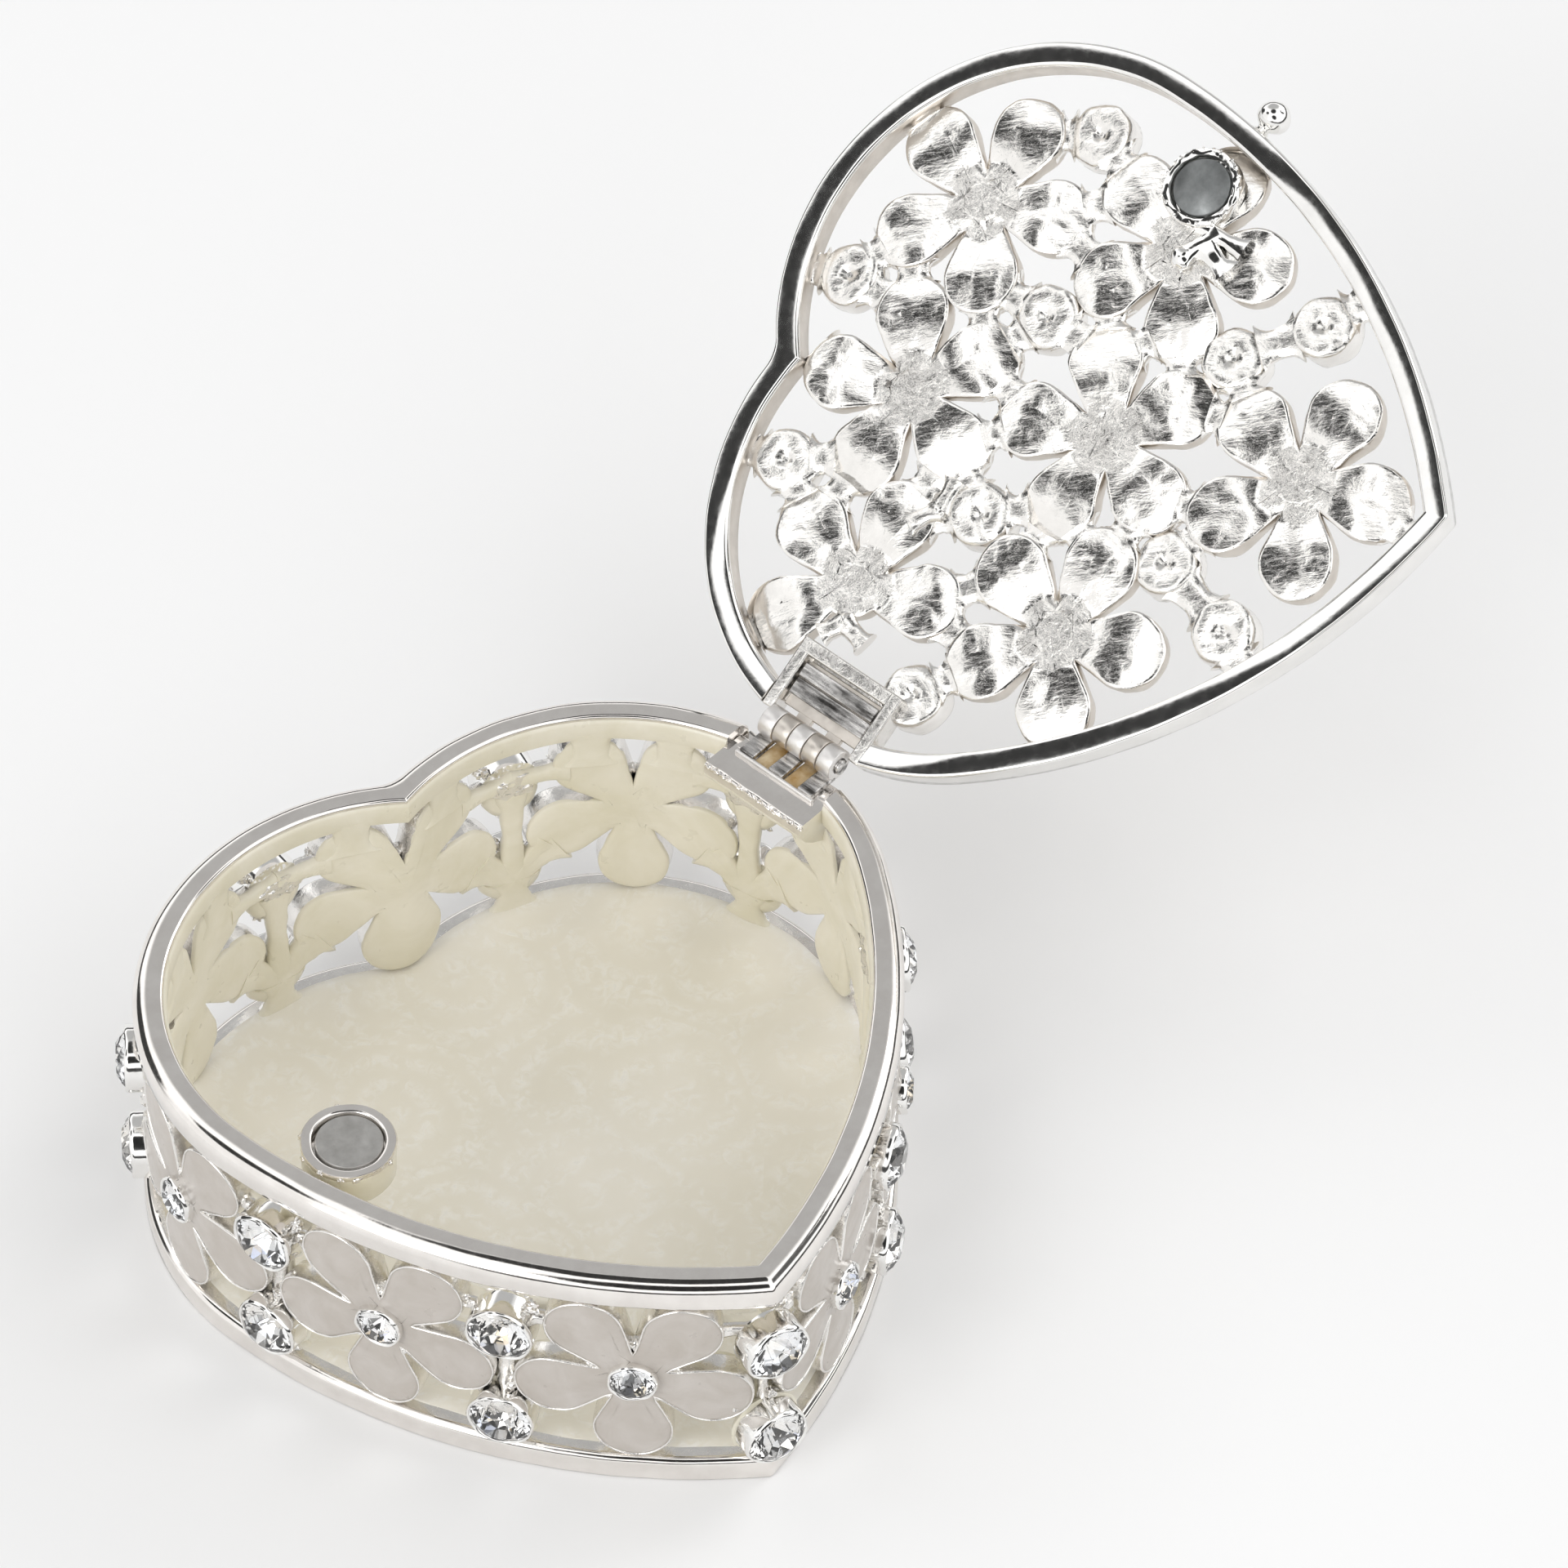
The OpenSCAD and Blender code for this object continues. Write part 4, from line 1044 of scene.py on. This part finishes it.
# ---- lid: flowers
def petal_backs(first, leans):
    """Back of a lid flower: each petal is cupped and leans in its own way (lean, place of its top, bend)."""
    def back(d, p):
        r = np.linalg.norm(p, axis=1)
        far = np.clip((r - 1.6) / 1.6, 0, 1)
        z = -1.32 - 0.09 * np.sin(np.minimum(d / 0.22, 1) * pi / 2) + 0.05 * np.exp(-r * r / 2)
        for i, (lean, top, bend) in enumerate(leans):
            a = rad(first + 72 * i)
            u = p @ np.array([cos(a), sin(a)])
            w = p @ np.array([-sin(a), cos(a)])
            mine = (u > r * cos(rad(36.01))) * far
            z = z + mine * (lean * w + bend * (u - top) ** 2 - 0.12)
        return z
    return back


BACK_OFFSETS = [0, 0.04, 0.1, 0.18, 0.3, 0.6, 1, 1.4, 1.8, 2.2]
ENAMEL_DEPTH, FIELD_DEPTH = 0.75, 0.85
lid_enamel = Bag()
for k, (x, y, first) in enumerate(LID_FLOWERS):
    face, seat = moved(x, y, LID_FACE), moved(x, y, LID_FACE + SMALL_UP)
    loop = flower_outline(first, 1 if k == 5 else -1)
    rnd = random.Random(500 + k)
    leans = [(rnd.uniform(-0.06, 0.06), rnd.uniform(3.2, 7.6), rnd.uniform(0.032, 0.05)) for _ in range(5)]
    v, f, (in_front, behind) = slab(loop, OFF_WIRE, wire_front(FIELD_DEPTH), BACK_OFFSETS,
                                    petal_backs(first, leans), mids=zip(EDGE, (-0.2, -0.55, -0.9)))
    # petals BACK_M, the hub behind them HUB_M, the edge WARM_M
    near = [min(np.linalg.norm(v[i][:2]) for i in q) < 2.3 for q in f[in_front:in_front + behind]]
    mats = [0] * in_front + [3 * int(hub) for hub in near] + [2] * (len(f) - in_front - behind)
    v = wobble(wobble(v, 2.4, 0.13, 30 + k), 0.8, 0.05, 60 + k)
    b = Bag()
    b.piece((v, f), face, mat=mats)
    b.piece(setting(SMALL_R, 1.65, 600 + k), seat, mat=1)
    b.build(f"lid_flower_{k + 1}_cast", "lid", [BACK_M, BRIGHT_M, WARM_M, HUB_M], [f"lid_flower_{k + 1}"],
            "silver_cast", sharp=50)
    lid_enamel.piece(enamel_slab(loop, ENAMEL_DEPTH), face)
    add_stone("lid_centre_stones", SMALL_R, rnd.uniform(0, 0.8), 1200 + k, seat)
lid_enamel.build("petal_enamel_lid", "lid", [PETAL_TONE_AND_SHADE_M], ["lid_petal_enamel"], "enamel_petal", sharp=60)

cups = Bag()
for k, (x, y) in enumerate(LID_STONES):
    seat = moved(x, y, LID_FACE + LARGE_UP)
    v, f = setting(STONE_R, 2.25, 700 + k, flat=True)
    deep = np.clip((-v[:, 2] - 1.2) / 0.8, 0, 1)
    lean = random.Random(850 + k).uniform(0, 6.28)
    v[:, 2] += deep * 0.12 * (v[:, 0] * cos(lean) + v[:, 1] * sin(lean))
    cups.piece((v, f), seat, (1.2, 0.12, k))
    add_stone("lid_stones", STONE_R, random.Random(800 + k).uniform(0, 0.8), 1300 + k, seat)
cups.build("lid_stone_cups_cast", "lid", [CUP_M], ["lid_stone_cups"], "silver_cast")
finish_stones("lid_stones", "lid")
finish_stones("lid_centre_stones", "lid")

# ---- lid: stems between the castings
NO_PETAL = (5, 1)  # the magnet's cup stands in this flower's second petal
spots = []
for k, (x, y, first) in enumerate(LID_FLOWERS):
    tips = arc(x, y, REACH - PETAL_R, np.radians(first + 72 * np.arange(5)))
    spots += [(*p, PETAL_R, k) for i, p in enumerate(tips) if (k, i) != NO_PETAL]
spots += [(x, y, STONE_R + BEZEL, len(LID_FLOWERS) + k) for k, (x, y) in enumerate(LID_STONES)]
b = Bag()
count = 0
for i, p in enumerate(spots):
    for q in spots[i + 1:]:
        gap = dist(p[:2], q[:2]) - p[2] - q[2]
        widest = 2.4 if min(p[3], q[3]) >= len(LID_FLOWERS) else 1.3
        if p[3] != q[3] and 0.05 < gap < widest:
            a0, a1 = np.array(p[:2]), np.array(q[:2])
            d = (a1 - a0) / np.linalg.norm(a1 - a0)
            b.piece(bar(a0 + d * (p[2] - 0.55), a1 - d * (q[2] - 0.55), 2.9, LID_BACK + 0.02, LID_BACK + 1.15,
                        900 + count, waist=0.9), shake=(0.9, 0.1, count))
            count += 1
# stems out to the ring, except where the hinge's frame is
for p in spots:
    m = 1 if p[0] >= 0 else -1
    if p[1] < -LOBE_R * sin(TURN):
        c, r = np.array([-m * SIDE_X, SIDE_Y]), SIDE_R
    else:
        c, r = np.array([m * LOBE_X, 0]), LOBE_R
    d = np.array(p[:2]) - c
    if r - np.linalg.norm(d) >= PETAL_R + 3.6:
        continue
    u = d / np.linalg.norm(d)
    start, end = np.array(p[:2]) + u * (p[2] - 0.5), c + u * (r - 1.7)
    from_pin = end - PIN[:2]
    if abs(from_pin @ AXIS[:2]) < 5.6 and p[0] > 10 and from_pin @ HINGE_OUT[:2] > -9:
        continue
    if np.dot(end - start, u) > 0.1:
        b.piece(bar(start, end, 2.9, LID_BACK + 0.02, LID_BACK + 1.2, 950 + count, waist=0.9, n=7),
                shake=(0.9, 0.1, count))
        count += 1
# two small hooks
for k, run in enumerate((((6.2, 1.6), (8.8, 2.2), (10.4, 4.2)), ((20.6, 8.4), (19.2, 6.8), (20.5, 4.5)))):
    for p, q in zip(run, run[1:]):
        b.piece(bar(p, q, 1.5, LID_BACK - 0.5, LID_BACK + 0.6, 990 + k, waist=1, n=7),
                shake=(0.9, 0.1, count))
    b.piece(blob((*run[1], LID_BACK + 0.05), (0.78, 0.78, 0.6), 12 + k, 0.2))
b.build("lid_stems_cast", "lid", [CUP_M], ["lid_web"], "silver_cast")

# ---- lid: magnet and knob
z0 = RING_Z + 0.05
x, y = MAG - 0.5 * HINGE_OUT[:2]
b = Bag()
v, f = lathe([(0, z0 + 1), (2.52, z0 + 1), (2.54, z0 + 0.18), (2.62, z0 + 0.04), (2.85, z0),
              (3.12, z0 + 0.05), (3.22, z0 + 0.2), (3.25, z0 + 0.7), (3.2, z0 + 1.25), (0, z0 + 1.3)], 60)
b.piece((v, f), moved(x, y), (0.55, 0.1, 4))
rnd = random.Random(9)
LUMPS = 22
for i in range(LUMPS):
    (u, w), = arc(x, y, 3.02, [rad(360 / LUMPS * i + rnd.uniform(-5, 5))])
    b.piece(blob((u, w, z0 + 0.12 + 0.15 * rnd.random()), (0.22, 0.22, 0.18), i, 0.6))
for p, q, w in (((-15, -10.7), (-17.6, -13), 1.5), ((-16.2, -12.4), (-14.6, -14.8), 1.7),
                ((-17.8, -11.4), (-16.6, -15.6), 1.3)):
    b.piece(bar(p, q, w, z0 + 0.35, z0 + 1.4, 60, waist=0.9), shake=(0.9, 0.12, 2))
b.piece(blob((-15, -10.7, z0 + 0.85), (0.95, 0.95, 0.7), 3, 0.1))
b.build("lid_magnet_cup_cast", "lid", [BRIGHT_M], ["lid_magnet_cup"], "silver_cast")
b = Bag()
v, f = lathe([(0, z0 + 0.98), (2.3, z0 + 0.98), (2.36, z0 + 0.9), (2.36, z0 + 0.28), (2.26, z0 + 0.16),
              (0, z0 + 0.14)], 56)
b.piece((v, f), moved(x, y))
b.build("lid_magnet_disc", "lid", [LID_MAGNET_M], ["lid_magnet"], "magnet_grey", sharp=50)

# the knob's profile is turned about a line that leaves the ring at its long side
x, y = np.array([SIDE_X, SIDE_Y]) + SIDE_R * LATCH_OUT
ox, oy = LATCH_OUT
prof = [(0, -0.3), (0.95, -0.3), (0.9, 0), (0.62, 0.16), (0.52, 0.3), (0.56, 0.42), (0.9, 0.62),
        (1.2, 0.9), (1.36, 1.25), (1.4, 1.5), (1.36, 1.8), (1.2, 2.2), (0.95, 2.5), (0.6, 2.74),
        (0.3, 2.86), (0, 2.9)]
v, f = lathe(prof, 40)
b = Bag()
b.add(np.column_stack([x + ox * v[:, 2] - oy * v[:, 0], y + oy * v[:, 2] + ox * v[:, 0],
                       (RING_Z + RING_TOP) / 2 + v[:, 1]]), f)
b.build("lid_knob_ball", "lid", [LID_RING_M], ["lid_knob"], "silver_rim")

# ---- ground, light, camera
me = bpy.data.meshes.new("ground")
me.from_pydata([(-4, -4, 0), (4, -4, 0), (4, 4, 0), (-4, 4, 0)], [], [(0, 1, 2, 3)])
ground = bpy.data.objects.new("ground", me)
scene.collection.objects.link(ground)
t = Skin("ground_pale")
me.materials.append(t.paint(Base_Color=t.ramp(t.noise(3, 2), (0.3, (0.95,) * 3), (0.7, (0.97,) * 3)),
                            Roughness=0.8, Specular_IOR_Level=0.1))
ground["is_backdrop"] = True


def area(name, place, target, size, power):
    lamp = bpy.data.lights.new(name, "AREA")
    lamp.shape = "RECTANGLE"
    lamp.size, lamp.size_y = size
    lamp.energy = power
    o = bpy.data.objects.new(name, lamp)
    o.location = place
    o.rotation_euler = (Vector(target) - Vector(place)).to_track_quat("-Z", "Y").to_euler()
    scene.collection.objects.link(o)


area("key_left", (-0.78, -0.3, 0.5), (0, 0, 0), (0.45, 0.45), 1.6)
area("right_soft", (0.8, 0.05, 0.5), (0, 0, 0.02), (0.4, 0.4), 1.2)

# a pale tent, dark just above the horizon
scene.world = bpy.data.worlds.new("studio")
scene.world.use_nodes = True
t = Tree(scene.world.node_tree, "Generated")
height = t.make("SeparateXYZ", 2, Vector=t.co)
tent = t.ramp(height, (0, (0.9,) * 3), (0.03, (0.9,) * 3), (0.05, (0.05,) * 3), (0.22, (0.05,) * 3),
              (0.27, (1,) * 3), (1, (1,) * 3))
# darker panels in it: direction, inner and outer radius in degrees, brightness
PANELS = (((-0.98, 0.1, 0.12), 28, 40, 0.8), ((0.75, -0.2, 0.62), 11, 15, 0.08),
          ((0.35, 0.572, 0.7415), 20, 31, 0.38), ((-0.607, 0.276, 0.744), 9.5, 12.5, 0.03),
          ((-0.483, 0.8, 0.3), 14, 17, 0.04), ((0, 0.05, 1), 14, 17, 0.03),
          ((-0.35, -0.572, 0.7415), 15, 18, 0.02))
for direction, inner, outer, level in PANELS:
    towards = t.calc("DOT_PRODUCT", t.co, Vector(direction).normalized(), kind="VectorMath", out="Value")
    near = t.span(towards, cos(rad(outer)), cos(rad(inner)), 0, 1)
    tent = t.mix(near, tent, (level,) * 3)
t.feed(t.nt.nodes["Background"], Color=tent, Strength=1.3)

# camera, fitted to the photo: azimuth, elevation and roll, what it looks at in mm, its distance in m
AZ, EL, ROLL = rad(-31.46), rad(47.854), rad(0.998)
AIM, DISTANCE = (36.659, 21.307, 0), 0.690593
cam = bpy.data.cameras.new("camera")
cam.sensor_width = 36
cam.lens = 196.7
cam.clip_start, cam.clip_end = 0.01, 10
back = Vector((sin(AZ) * cos(EL), -cos(AZ) * cos(EL), sin(EL)))
level = Vector((cos(AZ), sin(AZ), 0))
right = level * cos(ROLL) + back.cross(level) * sin(ROLL)
up = level * -sin(ROLL) + back.cross(level) * cos(ROLL)
place = Vector(AIM) * MM + back * DISTANCE
cam_o = bpy.data.objects.new("camera", cam)
cam_o.matrix_world = Matrix([(right[i], up[i], back[i], place[i]) for i in range(3)] + [(0, 0, 0, 1)])
scene.collection.objects.link(cam_o)
scene.camera = cam_o
scene.view_settings.view_transform = "Standard"

lo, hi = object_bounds()
{"cad": [list(cad_lo), list(cad_hi)], "visual": [list(lo), list(hi)]}
